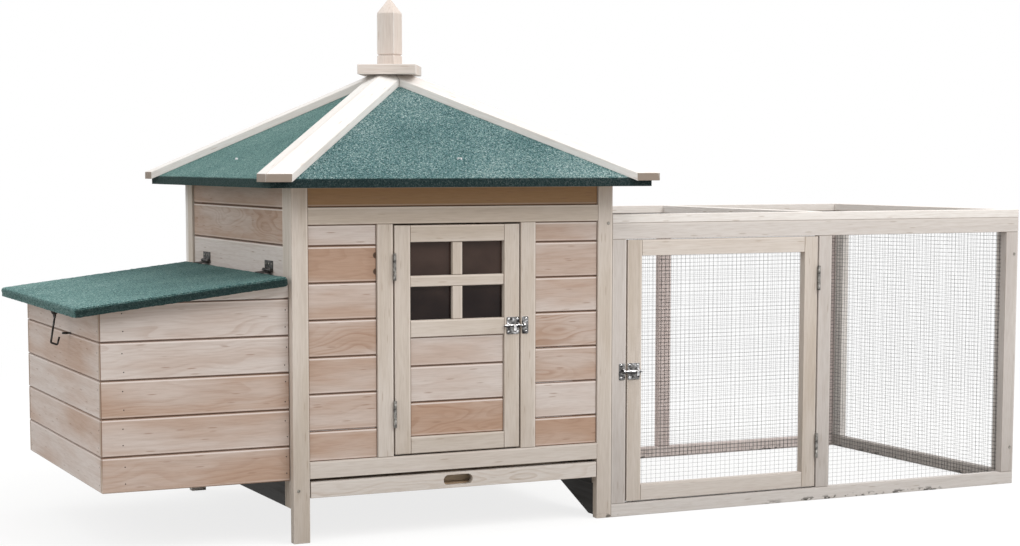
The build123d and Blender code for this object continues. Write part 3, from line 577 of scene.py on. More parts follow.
def timber(
    node, ease_mm=1.2, tones=(), in_painted_shade=None, tone_range=(0.45, 0.75), bolds=None, knots=None,
    end_grain=True, joints=1.0, look=None, added=None,
):
    """Stand eased boards with grain in for a timber node, or add a board of the same stock to it.

    A knot has a distance from the board's far end, one from its middle line, and a radius.
    """
    name, made = added or (node, solid_of(node))
    number_boards(made)
    ease(made, ease_mm * MM)
    made.verts.index_update()
    made.normal_update()
    boards = sorted(islands(made), key=lambda group: group[0].link_faces[0].material_index)
    data = {key: np.zeros((len(made.verts), 3)) for key in vector_data}
    tone, seam, bold = (np.zeros(len(made.verts)) for _ in number_data)
    for k, group in enumerate(boards):
        index = [v.index for v in group]
        for vert in group:
            close = every_board.find_nearest_range(vert.co, (ease_mm + joint_reach) * MM)
            seam[vert.index] = joints * any(board_of[found[2]] != (name, k) for found in close)
        axes = board_axes(group)
        local = np.array([v.co for v in group]) @ axes.T
        local -= (local.min(0) + local.max(0)) / 2
        data["place"][index] = local
        data["half"][index] = local.max(0)
        data["seed"][index] = [draw.random() for _ in range(3)]
        data["run"][index] = axes[0] * end_grain
        data["knot"][index] = no_knot
        if k in (knots or {}):
            from_end, off_middle, radius = knots[k]
            data["knot"][index] = (local.max(0)[0] - from_end, off_middle, radius)
        bold[index] = (bolds or {}).get(k, quiet)
        spare = draw.uniform(*tone_range)
        tone[index] = tones[k] if k < len(tones) else spare
        # Boards picked by this test take near-black timber, which is painted shade.
        dark = bool(in_painted_shade) and in_painted_shade(middle_of(group))
        for face in faces_of(group):
            face.material_index = int(dark)
    slot = slot_of[node]
    finishes = [fir_looks[look or slot]] + ([fir_looks["dark_timber"]] if in_painted_shade else [])
    thing = piece(f"{name}_timber", made, finishes, body_of[node], () if added else [node])
    carried = thing.data.attributes
    for key, values in data.items():
        carried.new(key, "FLOAT_VECTOR", "POINT").data.foreach_set("vector", values.ravel())
    for key, values in zip(number_data, (tone, seam, bold)):
        carried.new(key, "FLOAT", "POINT").data.foreach_set("value", values)
    return len(boards)


print("timber helper ready")

# %% [markdown]
# ## Posts, rails and planks
#
# The frames are straight pale stock with lightly eased edges. Cladding boards have a wider rounding, so
# two of them leave a groove between planks, which painted shade darkens. Some boards came from pale
# sapwood and some from warm heartwood, and those that face the camera are given the tone that each one
# has; a few are made paler or darker to paint light and shade onto them.


# %% Frames
def is_sill(middle):
    """Boards this low on the side walls get near-black painted shade, under the house."""
    return middle[2] < 0.16


plain_nodes = (
    "back_rails roof_plates nest_floor nest_divider perch tray_runners pop_door_guides apex_block "
    "roof_boards tray_board foot_braces"
)
finial = {"ease_mm": 1.5, "tone_range": (0.8, 0.9), "end_grain": False}
frame_looks = {
    **dict.fromkeys(plain_nodes.split(), {}),
    "corner_posts": {"tones": (0.6, -0.9, 0.6, 0.5)},
    "door_frame_stiles": {"tones": (0.45, 0.45)},
    # The top rail's darker, warmer tone is painted shade under the eave.
    "front_rails": {"tones": (0.2, 0.95)},
    "lid_board": {"ease_mm": 6.0},
    "tray_front": {"tones": (-0.3,), "bolds": {0: 2.0}},
    "door_frame": {"ease_mm": 2.0},
    "glazing_bars": {"ease_mm": 2.0},
    "run_front_frame": {"tones": (0.1, -0.45, 0.15, -0.3, 0.1), "look": "run_fir"},
    # The run's back frame, the back stile of its end frame and its top frame are made paler as painted
    # light: on faces in shade inside the run, and on the top frame lit from above.
    "run_back_frame": {"tone_range": (-0.4, -0.1), "look": "back_fir"},
    "run_end_frame": {"tones": (-0.25, -0.25, -0.25, -1.0), "look": "run_fir"},
    "run_door_frame": {"tones": (0.55, -0.2, -0.1, 0.5)},
    "run_top_frame": {"tone_range": (-0.9, -0.5)},
    # The low boards of the side walls are near-black, as painted shade under the house.
    "left_wall_frame": {"in_painted_shade": is_sill},
    "right_wall_frame": {"in_painted_shade": is_sill},
    "hip_caps": {"ease_mm": 1.5, "tone_range": (0.0, 0.2)},
    "finial_plate": finial,
    "finial_post": finial,
}
print(sum(timber(node, **looks) for node, looks in frame_looks.items()), "frame and roof boards")

# %% Planks
plank_ease = 2.5
plank_looks = {
    "front_planks": {
        "tones": (0.66, 0.62, 0.56, 0.56, 0.48, 0.8, 0.26, 1.9, 1, 0.16, 0.66, 0.64, 0.46, 0.34, 0.42),
        "bolds": {1: 0.9, 3: 1.6, 5: 0.9, 8: 1.4, 10: 1.7, 11: 2.6},
        "knots": {5: mm(1, 19, 7)},
    },
    "back_planks": {},
    "left_wall_planks": {
        # The sixth board, above the lid, is paler as painted light in the shade under the eave.
        "tones": (0.5, 0.6, 0.4, 0.55, 0.4, -0.2, 0.68, 0.85, 0.5, 0.4, 0.6),
        "bolds": {6: 2.0},
    },
    "right_wall_planks": {},
    "nest_side_planks": {
        # The fifth board and the eleventh, the wedge, are paler as painted light in the lid's shadow.
        "tones": (0.66, 0.46, 0.62, 0.10, 0.12, 0.6, 0.5, 0.6, 0.2, 0.5, -0.5, 0.5),
        "bolds": {0: 0.8, 2: 1.0, 3: 1.0, 4: 1.0},
    },
    "nest_end_planks": {"tones": (0.30, 0.52, 0.30, 0.48, 0.42), "joints": 0.6},
    "door_planks": {"tones": (1.02, 0.20, 0.26), "bolds": {0: 2.6}},
    "pop_door": {},
}
for node, looks in plank_looks.items():
    print(node, timber(node, plank_ease, **looks), "boards")

# %% [markdown]
# ## Roofing felt
#
# Mineral felt is a bitumen sheet with coloured grit rolled into it. Modelling each grain would take
# millions of faces, so the grit is a bump and a spread of cell colours, while the sheet itself is real:
# it turns down over the eave in a soft bend, and it lies a little uneven on the boards.


# %% Grit finish
def felt(name, dark, middle, light, side_rim_shade, shaded_span=(9.0, 10.0)):
    """Grit in three greens, with painted shade on the rim where it turns from the sky: nearly black in
    front, and dark by the fifth argument's share elsewhere.

    From the first to the second of the two places along X given last, the felt turns darker, which is
    painted shade.
    """
    finish, shader, here = new_finish(name)
    spot = here.coords("Object")
    grain, pick = spot.cells(460.0)
    clump = spot.cloud(240.0)
    patch = spot.cloud(5.0, 3.0)
    mix = pick * 0.45 + clump * 0.9 + (patch - 0.5) * 0.35 - 0.18
    colour = mix.fade(0.25, 0.5).tint(dark, middle)
    colour = mix.fade(0.52, 0.82).tint(colour, light)
    # Painted shade: towards the second of the given places along X the felt turns darker.
    colour = (spot.parts()[0].fade(*shaded_span) * 0.5).tint(colour, dark)
    # Painted shade on the rim: faces turned from the sky are darker, nearly black where they face front.
    _, back, up = here.coords("Normal").parts()
    rim_shade = (0 - back).fade(0.3, 0.8) * (0.9 - side_rim_shade) + side_rim_shade
    colour = ((1 - up.fade(0.25, 0.9)) * rim_shade).tint(colour, times(dark, 0.2))
    bump = (grain * 60.0 + clump).bump(0.7, 1.0 * MM)
    feed(shader, Base_Color=colour, Roughness=0.95 - pick * 0.2, Normal=bump, Specular_IOR_Level=0.25)
    return finish


green_felt = felt("green_felt", (0.040, 0.118, 0.126), (0.166, 0.338, 0.344), (0.66, 0.81, 0.80), 0.85)
side_felt = felt("side_felt", (0.078, 0.190, 0.182), (0.160, 0.335, 0.318), (0.39, 0.58, 0.56), 0.85)
# The lid's felt takes painted shade towards the wall.
lid_painted_shade = (-1.25, -0.85)
lid_felt = felt(
    "lid_felt", (0.060, 0.155, 0.152), (0.195, 0.40, 0.388), (0.52, 0.74, 0.71), 0.3, lid_painted_shade
)
print("felt finishes ready")


# %% Skins between rings
def skin(made, axes, rings):
    """Faces between neighbouring rings of points, and over both ends."""
    loops = [[made.verts.new(axes @ Vector(point)) for point in ring] for ring in rings]
    for a, b in zip(loops, loops[1:]):
        for k in range(len(a)):
            n = (k + 1) % len(a)
            made.faces.new((a[k], a[n], b[n], b[k]))
    made.faces.new(loops[0][::-1])
    made.faces.new(loops[-1])


def steps_to(start, stop, most):
    """Even places from start to stop, no further apart than most."""
    count = max(1, ceil(abs(stop - start) / most))
    return [start + (stop - start) * k / count for k in range(count + 1)]


def uneven(point, size, depth):
    """A small repeatable swell at a point."""
    return depth * (noise.noise(point / size) + 0.5 * noise.noise(point * 2.7 / size))


print("skin helpers ready")

# %% Roof section
roof_low, roof_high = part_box("roof_felt_front")
roof_x = (roof_low.x + roof_high.x) / 2
roof_half = -roof_low.y
top_reach = -roof_high.y
felt_thick, felt_gap, bend = mm(3.0, 0.2, 6.0)
roof_pitch = radians(28)
roof_rise = tan(roof_pitch)
eave_low, apex_high = roof_low.z, roof_high.z
eave_high = apex_high - (roof_half - top_reach) * roof_rise

# Up from the eave, over the bend and up the slope, then back below.
bend_turn = pi / 2 - roof_pitch
bend_low = eave_high - bend * tan(bend_turn / 2)
outer = [(roof_half, z) for z in steps_to(eave_low, bend_low, 5 * MM)]
for turn in steps_to(0.0, bend_turn, radians(11))[1:]:
    outer.append((roof_half - bend + bend * cos(turn), bend_low + bend * sin(turn)))
slope = steps_to(outer[-1][0] - 4 * MM, top_reach, 20 * MM)
outer += [(out, eave_high + (roof_half - out) * roof_rise) for out in slope]
drop = felt_thick / cos(roof_pitch)
inner_reach = roof_half - felt_thick
inner = [
    (top_reach, apex_high - drop),
    (inner_reach, eave_high + felt_thick * roof_rise - drop),
    (inner_reach, eave_low),
]
print(len(outer), "points over the felt")


# %% Roof felt
def roof_axes(turn):
    return Matrix.Translation((roof_x, 0, 0)) @ Matrix.Rotation(turn, 4, "Z")


felt_up = Vector((0, -0.45, 0.9))
for number, side in enumerate(("front", "right", "back", "left")):
    turn = number * pi / 2
    rings = []
    for share in steps_to(-1.0, 1.0, 0.009):
        points = []
        for k, (out, z) in enumerate(outer + inner):
            spot = Vector((share * out, -out, z))
            if k < len(outer):
                swell = max(0.0, uneven(spot + Vector((0, 0, turn * 3)), 90 * MM, 1.0 * MM))
                grit = uneven(spot + Vector((turn, 0, 0)), 6 * MM, 0.25 * MM)
                loose = min(1.0, (z - eave_low) / (20 * MM) + 0.15)
                spot += felt_up * (swell + grit) * loose
            spot.x = share * (out - felt_gap)
            points.append(spot)
        rings.append(points)
    made = bmesh.new()
    skin(made, roof_axes(turn), rings)
    finish = green_felt if side in ("front", "back") else side_felt
    sheet = stand_in(f"roof_felt_{side}", "sheet", made, [finish], 40)
    print(sheet.name, len(sheet.data.polygons), "faces")

# %% [markdown]
# ## Nest lid
#
# The lid is a board wrapped in felt. Its corners are round because felt can't be folded sharply, so the
# skin is drawn as rings of one rounded outline: in from the lid's underside, up the rim, over a soft
# edge and towards the middle of the top. Rings keep the grit even along the whole rim.


# %% Rounded outline
corner_steps = 6


def rounded(width, depth, radius, side_steps, height=0.0):
    """Points round a rectangle with round corners; the count doesn't depend on the size."""
    round_from_right = corner_ways[1:] + corner_ways[:1]
    centres = [(sx * (width / 2 - radius), sy * (depth / 2 - radius)) for sx, sy in round_from_right]
    points = []
    for k, (x, y) in enumerate(centres):
        for j in range(corner_steps + 1):
            turn = pi / 2 * (k - 1 + j / corner_steps)
            points.append((x + radius * cos(turn), y + radius * sin(turn), height))
        ahead = centres[(k + 1) % len(centres)]
        away = (cos(pi / 2 * k), sin(pi / 2 * k))
        for j in range(1, side_steps):
            mixed = [a + (b - a) * j / side_steps + radius * w for a, b, w in zip((x, y), ahead, away)]
            points.append((*mixed, height))
    return points


print(len(rounded(1.0, 1.0, 0.1, 2)), "points round a plain outline")

# %% Lid felt
lid_low, lid_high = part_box("lid_felt_cover")
lid_rise, lid_level, lid_thick, lid_bend = mm(52, 443, 19, 8)
lid_lean = atan(lid_rise / lid_level)
lid_start = lid_thick * sin(lid_lean)
lid_run = (lid_high.x - lid_low.x - lid_start) / cos(lid_lean)
lid_depth = lid_high.y - lid_low.y
lid_axes = (
    Matrix.Translation((lid_low.x + lid_start, (lid_low.y + lid_high.y) / 2, lid_low.z))
    @ Matrix.Rotation(-lid_lean, 4, "Y")
    @ Matrix.Translation((lid_run / 2, 0, 0))
)
lid_corner, tight_corner = mm(14, 2)
lap_in, lap_thick, sheet_under = mm(100, 2.5, 16.5)
bend_low = lid_thick - lid_bend
bend_turns = steps_to(0.3, pi / 2, 0.32)
top_insets = mm(10.5, 14, 22, 35, 55, 80, 110, 150, 200)
section = [(lap_in, sheet_under), (lap_thick, sheet_under), (lap_thick, 0.0), (0.0, 0.0)]
section += [(0.0, z) for z in steps_to(3 * MM, bend_low, 4 * MM)]
section += [(lid_bend - lid_bend * cos(t), bend_low + lid_bend * sin(t)) for t in bend_turns]
section += [(inset, lid_thick) for inset in top_insets]
lip_rings = (2, 3)
lip_drop, lip_clear = mm(3, 5)
rings = []
for k, (inset, z) in enumerate(section):
    radius = max(lid_corner - inset, tight_corner)
    points = []
    for x, y, _ in rounded(lid_run - 2 * inset, lid_depth - 2 * inset, radius, 90):
        spot = Vector((x, y, z))
        if k in lip_rings and x < lid_run / 2 - lip_clear:
            spot.z -= lip_drop + uneven(spot, 12 * MM, 1.0 * MM)
        if k > lip_rings[-1]:
            outward = Vector((x, y, 0)).normalized() if z < bend_low else Vector((0, 0, 1))
            rough = (1.1 if inset < 2 * lid_bend else 0.5) * MM
            spot += outward * (uneven(spot, 9 * MM, rough) - rough)
        points.append(spot)
    rings.append(points)
made = bmesh.new()
skin(made, lid_axes, rings)
lid_sheet = piece(
    "lid_felt_sheet", made, [lid_felt], "nest_lid", ["lid_felt_cover"], 45
)
print("lid felt", len(lid_sheet.data.polygons), "faces, leaning", round(degrees(lid_lean), 1))

# %% [markdown]
# ## Metal finishes
#
# Hinges are dull zinc, bolts and staples brightly plated, the hook and the nails black, screws brownish
# and the wire galvanised. A single mirror colour would look like plastic from afar, so each has its own
# cloudiness, and the wire has the mottled bloom of hot zinc. The bolts and staples carry a painted
# reflection, pale above, grey in front and dark below, broken up by cloudy patches.


# %% Metals
def metal(name, bright, dull, rough, scale, contrast):
    """Metal with cloudy patches between two colours."""
    finish, shader, here = new_finish(name)
    spot = here.coords("Object")
    patch = spot.cloud(scale, 3.0)
    fine = spot.cloud(scale * 9)
    mask = (patch * 0.8 + fine * 0.2).fade(0.5 - contrast, 0.5 + contrast)
    feed(shader, Base_Color=mask.tint(dull, bright), Metallic=1.0, Normal=fine.bump(0.15, 0.2 * MM))
    feed(shader, Roughness=rough + (1 - mask) * 0.18)
    return finish


def plated(name, bright, middle, dark):
    """Bright plating with a painted reflection: pale above, grey in front and dark below."""
    finish, shader, here = new_finish(name)
    painted_reflection_mask = here.coords("Normal").parts()[2] + (here.coords("Object").cloud(130.0) - 0.5) * 2.2
    colour = painted_reflection_mask.fade(-0.4, 0.1).tint(dark, middle)
    colour = painted_reflection_mask.fade(0.1, 0.7).tint(colour, bright)
    feed(shader, Base_Color=colour, Metallic=1.0, Roughness=0.16 + (1 - painted_reflection_mask.fade(-0.4, 0.4)) * 0.2)
    return finish


cloudy_kinds = {
    "hinge_steel": ((0.34, 0.33, 0.31), (0.12, 0.115, 0.11), 0.42, 90.0, 0.15),
    "dark_steel": ((0.085, 0.082, 0.078), (0.024, 0.022, 0.020), 0.45, 90.0, 0.2),
    "screw_steel": ((0.42, 0.40, 0.36), (0.15, 0.14, 0.12), 0.38, 120.0, 0.2),
    "galvanised_wire": ((0.16, 0.155, 0.15), (0.075, 0.072, 0.07), 0.55, 40.0, 0.25),
}
# Bright, middle and dark colours of the painted reflection on plated metal.
plated_kinds = {
    "bright_chrome": ((0.80, 0.80, 0.82), (0.22, 0.215, 0.21), (0.03, 0.028, 0.03)),
    "polished_bar": (white, (0.70, 0.70, 0.71), (0.05, 0.05, 0.055)),
    "staple_zinc": (white, (0.95, 0.95, 0.96), (0.45, 0.45, 0.46)),
}
metals = {name: metal(name, *kind) for name, kind in cloudy_kinds.items()}
metals.update({name: plated(name, *kind) for name, kind in plated_kinds.items()})
print("metals:", ", ".join(metals))

# %% [markdown]
# ## Welded mesh
#
# The run is closed with welded mesh: uprights about 14 mm apart and cross wires about 11 mm apart, each
# half a millimetre thick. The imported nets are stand-ins with wide gaps, and a picture of a net would
# look flat from the side, so each wire is a fine tube. All share one gentle swell, as a cut length of
# mesh has. Where the back and end nets lap the timber they are folded double, so wires are stouter.

# %% Wires
wire_half, folded_half, lap_reach = mm(0.27, 0.5, 3)
upright_pitch, cross_pitch = mm(13.8, 10.75)
swell_scale, swell_depth, swell_out = 4.0, 1.0 * MM, 0.35
no_lap = (0.0, 0.0)


def around(radii, height=0.0):
    """Points round an axis, one for each radius."""
    turns = [2 * pi * k / len(radii) for k in range(len(radii))]
    return [(radius * cos(t), radius * sin(t), height) for radius, t in zip(radii, turns)]


def rod(made, path, radii, sides=6):
    """A round wire along a path, with a radius for each of its points."""
    ways = [(b - a).normalized() for a, b in zip(path, path[1:])]
    ways = ways[:1] + [(a + b).normalized() for a, b in zip(ways, ways[1:])] + ways[-1:]
    side = ways[0].orthogonal().normalized()
    rings = []
    for point, way, radius in zip(path, ways, radii):
        side = (side - way * side.dot(way)).normalized()
        up = way.cross(side)
        rings.append([point + side * a + up * b for a, b, _ in around([radius] * sides)])
    skin(made, Matrix(), rings)


def welded_mesh(node, along, up, extra):
    """Upright and cross wires over a packed net.

    Along and up are the net's long axes, and extra is how far it laps the timber on each of them.
    """
    low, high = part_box(node)
    step = (55 if extra == no_lap else 11) * MM
    for axis, more in zip((along, up), extra):
        low[axis] -= more
        high[axis] += more
    flat = 3 - along - up
    made = bmesh.new()
    middle = (low[flat] + high[flat]) / 2
    count = 0
    for axis, other, pitch, layer in ((up, along, upright_pitch, -1), (along, up, cross_pitch, 1)):
        for place in steps_to(low[other] + wire_half, high[other] - wire_half, pitch * 1.001):
            path, radii = [], []
            for spot in steps_to(low[axis], high[axis], step):
                point = Vector()
                point[axis], point[other], point[flat] = spot, place, middle + layer * wire_half
                drift = noise.noise_vector(point * swell_scale) * swell_depth
                drift[flat] *= swell_out
                point += drift
                for k in (axis, other):
                    point[k] = min(max(point[k], low[k]), high[k])
                path.append(point)
                folded = extra != no_lap and every_board.find_nearest(point, lap_reach)[0]
                radii.append(folded_half if folded else wire_half)
            rod(made, path, radii, 5)
            count += 1
    stand_in(node, "wires", made, [metals["galvanised_wire"]], 80)
    return count


for node, along, up, extra in (
    ("run_front_net", 0, 2, no_lap),
    ("run_door_net", 0, 2, no_lap),
    ("run_back_net", 0, 2, mm(4, 18)),
    ("run_end_net", 1, 2, mm(16, 18)),
    ("run_top_net", 0, 1, no_lap),
):
    print(node, welded_mesh(node, along, up, extra), "wires")

# %% [markdown]
# ## Hinges, hook and screws
#
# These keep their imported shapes, which are already right; only the hook and its eyes are made a little
# stouter. Screw heads need more than a disc: a low dome with a cross sunk in it, drawn as rings whose
# inner ones are star-shaped. The same head serves the posts, the lid hinges and the bolts.


# %% Screw heads
cross_arms = 4
cross = (1.0, 0.62, 0.34, 0.30, 0.34, 0.62) * cross_arms
whole = (1.0,) * len(cross)
head_rings = (
    (1.0, -0.1, whole), (1.0, 0.12, whole), (0.86, 0.34, whole),
    (0.62, 0.46, whole), (0.5, 0.48, cross), (0.42, 0.14, cross),
)


def standing(at, way):
    """Axes of a round thing that stands at a place and points a way."""
    return Matrix.Translation(at) @ Vector(way).to_track_quat("Z", "Y").to_matrix().to_4x4()


def screw_head(made, at, way, radius):
    """A domed head with a sunk cross."""
    rings = []
    for size, rise, shape in head_rings:
        rings.append(around([radius * size * pinch for pinch in shape], radius * rise))
    skin(made, standing(at, way), rings)


def screws_on(made, spots, way, radius):
    """Screws that take the second finish of a piece."""
    before = len(made.faces)
    for spot in spots:
        screw_head(made, spot, way, radius)
    made.faces.ensure_lookup_table()
    for face in made.faces[before:]:
        face.material_index = 1


print(len(head_rings), "rings to a screw head")

# %% Hinges and hook
fine_weld, hinge_screw = mm(0.01, 2.4)


def metalwork(node, stouter=0.0, finish=None, screws=(), aged_below=0.0):
    """A packed metal node, stouter where asked.

    Screws are places that face left; a node with screws is darker below a place along X.
    """
    made = bmesh.new()
    made.from_mesh(frame["nodes"][node].data)
    bmesh.ops.remove_doubles(made, verts=made.verts, dist=fine_weld)
    made.normal_update()
    for vert in made.verts:
        vert.co += vert.normal * stouter
    finishes = [finish or metals[slot_of[node]]]
    if screws:
        finishes += [metals["screw_steel"], metals["dark_steel"]]
        for face in made.faces:
            face.material_index = 2 if face.calc_center_median().x < aged_below else 0
        screws_on(made, screws, (-1, 0, 0), hinge_screw)
    stand_in(node, "metal", made, finishes, 35)


lid_hinge_places = (-0.25, 0.25)
leaf_thick, screw_pitch, screw_down = mm(1.2, 20, 8)
wall_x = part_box("left_wall_planks")[0].x
wall_near = wall_x + 20 * MM
leaves = frame["nodes"]["fixed_hinge_leaves"].data.vertices
leaf_top = max(v.co.z for v in leaves if v.co.x < wall_near)
wall_screws = [
    (wall_x - leaf_thick, y + side * screw_pitch, leaf_top - screw_down)
    for y in lid_hinge_places
    for side in (-1, 0, 1)
]
metalwork("fixed_hinge_leaves", screws=wall_screws, aged_below=wall_near)
metalwork("lid_hinge_leaves", finish=metals["dark_steel"])
for node in ("door_hinge_leaves", "run_door_hinge_leaves"):
    metalwork(node)
for node in ("lid_eye", "lid_hook", "catch_eye"):
    metalwork(node, 0.8 * MM)
print("hinges and hook;", len(wall_screws), "screws on the lid hinges")

# %% Post screws
post_screw, post_sink = mm(4, 0.7)
made = solid_of("frame_screws")
places = [Vector(middle_of(group)) for group in islands(made)]
made.free()
made = bmesh.new()
for place in places:
    out = Vector((0, -1 if place.y < 0 else 1, 0))
    screw_head(made, place - out * post_sink, out, post_screw)
piece("frame_screw_heads", made, [metals["screw_steel"]], "coop", ["frame_screws"], 35)
print(len(places), "post screws")

# %% [markdown]
# ## Barrel bolts
#
# Each door has a plated barrel bolt: a plate with four screws, two pressed straps, a round bar with a
# hanging lever, and a keeper on the post. They sit at eye level on pale wood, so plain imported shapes
# won't do. One set of axes serves both: along the bar towards the keeper, up, and out of the door.


# %% Bolt shapes
bar_out, plate_thick, plate_corner, plate_ease = mm(5.35, 1.5, 3, 0.5)
strap_wide, strap_thick, strap_bore, strap_low = mm(5, 1.5, 3.3, 1.2)
strap_feet = [(-6.0 * MM, strap_low), (-5.2 * MM, 2.6 * MM)]


def plate(made, axes, x0, x1, tall):
    """A pressed plate with round corners and an eased rim."""
    levels = ((0.0, 0.0), (0.0, plate_thick * 0.6), (plate_ease, plate_thick))
    rings = [rounded(x1 - x0 - 2 * inset, tall - 2 * inset, plate_corner, 2, z) for inset, z in levels]
    skin(made, axes @ Matrix.Translation(((x0 + x1) / 2, 0, 0)), rings)


def arch(radius):
    turns = steps_to(0.0, pi, radians(16))
    return [(-cos(t) * radius, bar_out + sin(t) * radius) for t in turns]


def strap(made, axes, x):
    """A pressed arch over the bar, with feet that run into the plate."""
    far_feet = [(-a, b) for a, b in strap_feet[::-1]]
    inner = [(strap_bore, strap_low), *arch(strap_bore)[::-1], (-strap_bore, strap_low)]
    outline = strap_feet + arch(strap_bore + strap_thick) + far_feet + inner
    rings = []
    for place, size in ((-0.5, 0.96), (-0.42, 1.0), (0.42, 1.0), (0.5, 0.96)):
        at = x + place * strap_wide
        rings.append([(at, a * size, bar_out + (b - bar_out) * size) for a, b in outline])
    skin(made, axes, rings)


def turned(made, axes, section, sides=20):
    """A round piece from pairs of distance along and radius, in millimetres."""
    skin(made, axes, [around([radius * MM] * sides, rise * MM) for rise, radius in section])


print("bolt shapes ready")


# %% Bolts
front_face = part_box("corner_posts")[0].y
strap_in, screw_in, screw_up, screw_wide = mm(4, 5.5, 15.5, 3.2)
bar_tip, lever_place, knob_up, knob_out = mm(8, -19.7, 3.8, 14)
bar_section = [(0, 1.6), (0.5, 2.5), (1.6, 3.0), (48.9, 3.0), (50.0, 2.5), (50.5, 1.6)]
stem_section = [(0, 2.0), (9.0, 2.0), (11.0, 2.3), (14.0, 2.4)]
knob_section = [
    (0, 1.2), (0.8, 2.4), (2.6, 2.8), (8.0, 3.4), (12.0, 4.3), (15.0, 4.4), (17.0, 3.2), (17.8, 1.4)
]
bolt_finishes = [metals["bright_chrome"], metals["polished_bar"]]


def bolt_screws(made, axes, places):
    """Screws above and below the bar, at places along it."""
    spots = [axes @ Vector((x, y, plate_thick)) for x in places for y in (-screw_up, screw_up)]
    screws_on(made, spots, (0, -1, 0), screw_wide)


def barrel_bolt(plate_node, bar_node, way):
    """Plate and bar of one bolt, drawn back as it is packed."""
    low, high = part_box(plate_node)
    edge = high.x if way > 0 else low.x
    level = (low.z + high.z) / 2
    axes = Matrix(((way, 0, 0, edge), (0, 0, -1, front_face), (0, 1, 0, level), (0, 0, 0, 1)))
    wide, tall = high.x - low.x, high.z - low.z
    made = bmesh.new()
    plate(made, axes, -wide, 0.0, tall)
    for x in (-strap_in, strap_in - wide):
        strap(made, axes, x)
    bolt_screws(made, axes, (-screw_in, screw_in - wide))
    stand_in(plate_node, "metal", made, bolt_finishes, 40)
    made = bmesh.new()
    for at, facing, section in (
        ((bar_tip, 0, bar_out), (-1, 0, 0), bar_section),
        ((lever_place, 0, bar_out), (0, 0, 1), stem_section),
        ((lever_place, knob_up, bar_out + knob_out), (0, -1, 0), knob_section),
    ):
        turned(made, axes @ standing(at, facing), section)
    stand_in(bar_node, "metal", made, bolt_finishes[1:], 40)
    return axes


bolt_sets = [
    barrel_bolt("door_bolt_plate", "door_bolt", 1),
    barrel_bolt("run_bolt_plate", "run_bolt", -1),
]
keeper_near, keeper_far, keeper_tall, keeper_strap, keeper_screw = mm(7.5, 24.5, 42, 11.5, 18)
made = bmesh.new()
for axes in bolt_sets:
    plate(made, axes, keeper_near, keeper_far, keeper_tall)
    strap(made, axes, keeper_strap)
for axes in bolt_sets:
    bolt_screws(made, axes, [keeper_screw])
piece("bolt_keeper_loops", made, bolt_finishes, "coop", ["bolt_keepers"], 40)
print(len(bolt_sets), "barrel bolts with keepers")

# %% [markdown]
# ## Smoky panes
#
# The door's window is one dark smoked sheet behind the bars. A black board would look dead, so the
# sheet is slightly see-through, glossy and faintly wavy, as cheap acrylic is, with a painted reflection
# that makes it paler towards the top.

# %% Panes
pane_finish, pane_shader, here = new_finish("smoky_pane")
spot = here.coords("Object")
pane_low, pane_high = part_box("door_pane")
pane_dark, pane_reflection = (0.011, 0.006, 0.006), (0.072, 0.045, 0.036)
# Painted reflection: paler towards the top, streaked by the haze.
level = spot.parts()[2].fade(pane_low.z, pane_high.z)
haze = spot.cloud((9.0, 9.0, 12.0), 3.0)
pane_colour = (level * 0.7 + haze * 0.9 - 0.35).fade(0.0, 1.0).tint(pane_dark, pane_reflection)
feed(pane_shader, Base_Color=pane_colour, Roughness=haze * 0.1 + 0.06, Normal=haze.bump(0.08, 1.0 * MM))
feed(pane_shader, Alpha=0.94, Specular_IOR_Level=0.2)
pane = frame["nodes"]["door_pane"]
pane.data.materials.clear()
pane.data.materials.append(pane_finish)
print("pane", [round(b - a, 3) for a, b in zip(pane_low, pane_high)])

# %% [markdown]
# ## Nails and staples
#
# The nest box is nailed: a pair of small dark heads near both ends of each plank. Two staples hold the
# felt near the eaves. They are tiny, but without them the boards look printed rather than built.

# %% Nails
nest_low, nest_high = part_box("nest_side_planks")
end_low, end_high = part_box("nest_end_planks")
lowest_joint, plank_pitch, pair_below, pair_above = mm(227, 86, 21, 19)
from_end, from_wall, from_side, from_top = mm(52, 14, 12, 10)
nail_section = [(-0.3, 1.5), (0.05, 1.5), (0.22, 1.1), (0.26, 0.4)]


def slip():
    """How far a nail went in aside and above its place."""
    return draw.uniform(-3, 3) * MM, draw.uniform(-4, 4) * MM


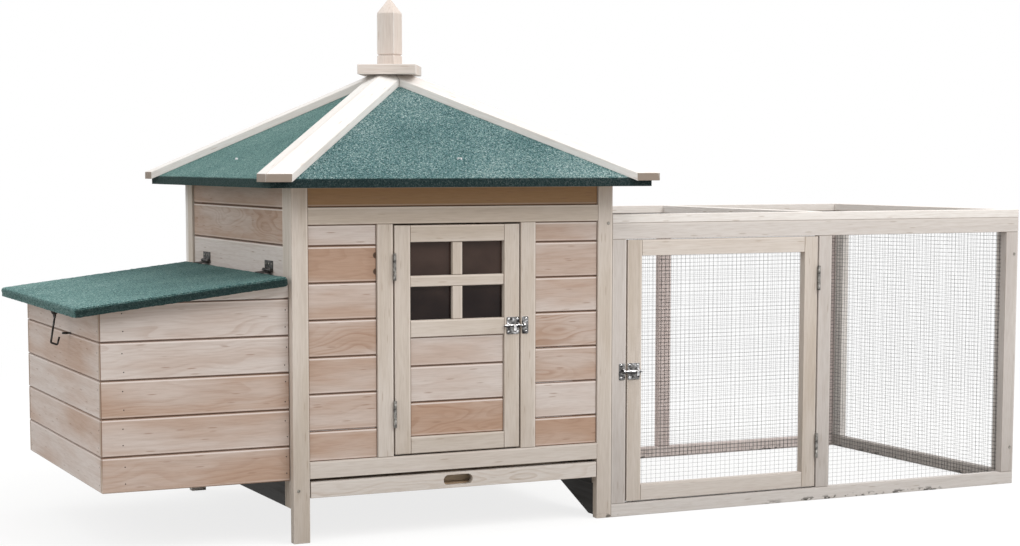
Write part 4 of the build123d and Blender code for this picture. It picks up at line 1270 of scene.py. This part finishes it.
nails = []
for row in range(-1, 4):
    for offset in (-pair_below, pair_above):
        z = lowest_joint + (row + 0.5) * plank_pitch + offset
        for x in (nest_low.x + from_end, nest_high.x - from_wall):
            aside, above = slip()
            nails.append(((x + aside, nest_low.y, z + above), (0, -1, 0)))
            nails.append(((x + aside, nest_high.y, z + above), (0, 1, 0)))
        for y in (end_low.y + from_side, end_high.y - from_side):
            aside, above = slip()
            if z < end_high.z - from_top:
                nails.append(((end_low.x, y + aside, z + above), (-1, 0, 0)))
made = bmesh.new()
for at, facing in nails:
    turned(made, standing(at, facing), nail_section, 10)
piece("nest_nails", made, [metals["dark_steel"]], "coop", (), 40)
print(len(nails), "nails")

# %% Felt staples
staple_wire, staple_half, staple_leg, staple_in, staple_proud = mm(2, 5, 4, 82, 3)
out = roof_half - staple_in
rise = eave_high + staple_in * roof_rise + staple_proud
made = bmesh.new()

# Each lies a share of the way along the eave of one roof side.
staples = ((0.03, 0.0), (-0.01, -pi / 2))
for share, turn in staples:
    bridge = [(share * out + way * staple_half, -out, rise) for way in (-1, 1)]
    legs = [(x, y, z - staple_leg) for x, y, z in bridge]
    path = [roof_axes(turn) @ Vector(p) for p in (legs[0], *bridge, legs[1])]
    rod(made, path, [staple_wire] * len(path))
piece("felt_staples", made, [metals["staple_zinc"]], "coop", (), 40)
print(len(staples), "staples on the felt")

# %% [markdown]
# ## Rim of the tray
#
# Through the finger slot one sees the tray's own rim, the strip that keeps litter on the board. It
# could be left out, but then the slot is a black hole. It stands a finger's width behind the front and
# rides with the tray.

# %% Tray rim
front_low, front_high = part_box("tray_front")
board_low, board_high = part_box("tray_board")
rim_back, rim_thick, rim_under, rim_short = mm(18, 6, 2, 3)
rim_low = (board_low.x + rim_short, front_high.y + rim_back, board_high.z)
rim_high = (board_high.x - rim_short, front_high.y + rim_back + rim_thick, front_high.z - rim_under)
made = bmesh.new()
bmesh.ops.create_cube(made, size=1.0)
for vert in made.verts:
    vert.co = [low if side < 0 else high for side, low, high in zip(vert.co, rim_low, rim_high)]
timber("tray_board", tones=(-0.1,), added=("tray_rim", made))
print("tray rim", [round(b - a, 3) for a, b in zip(rim_low, rim_high)])

# %% [markdown]
# ## Last update
#
# The view layer is brought up to date, with the dressed coop's pieces on their bodies.

# %% Finish
bpy.context.view_layer.update()
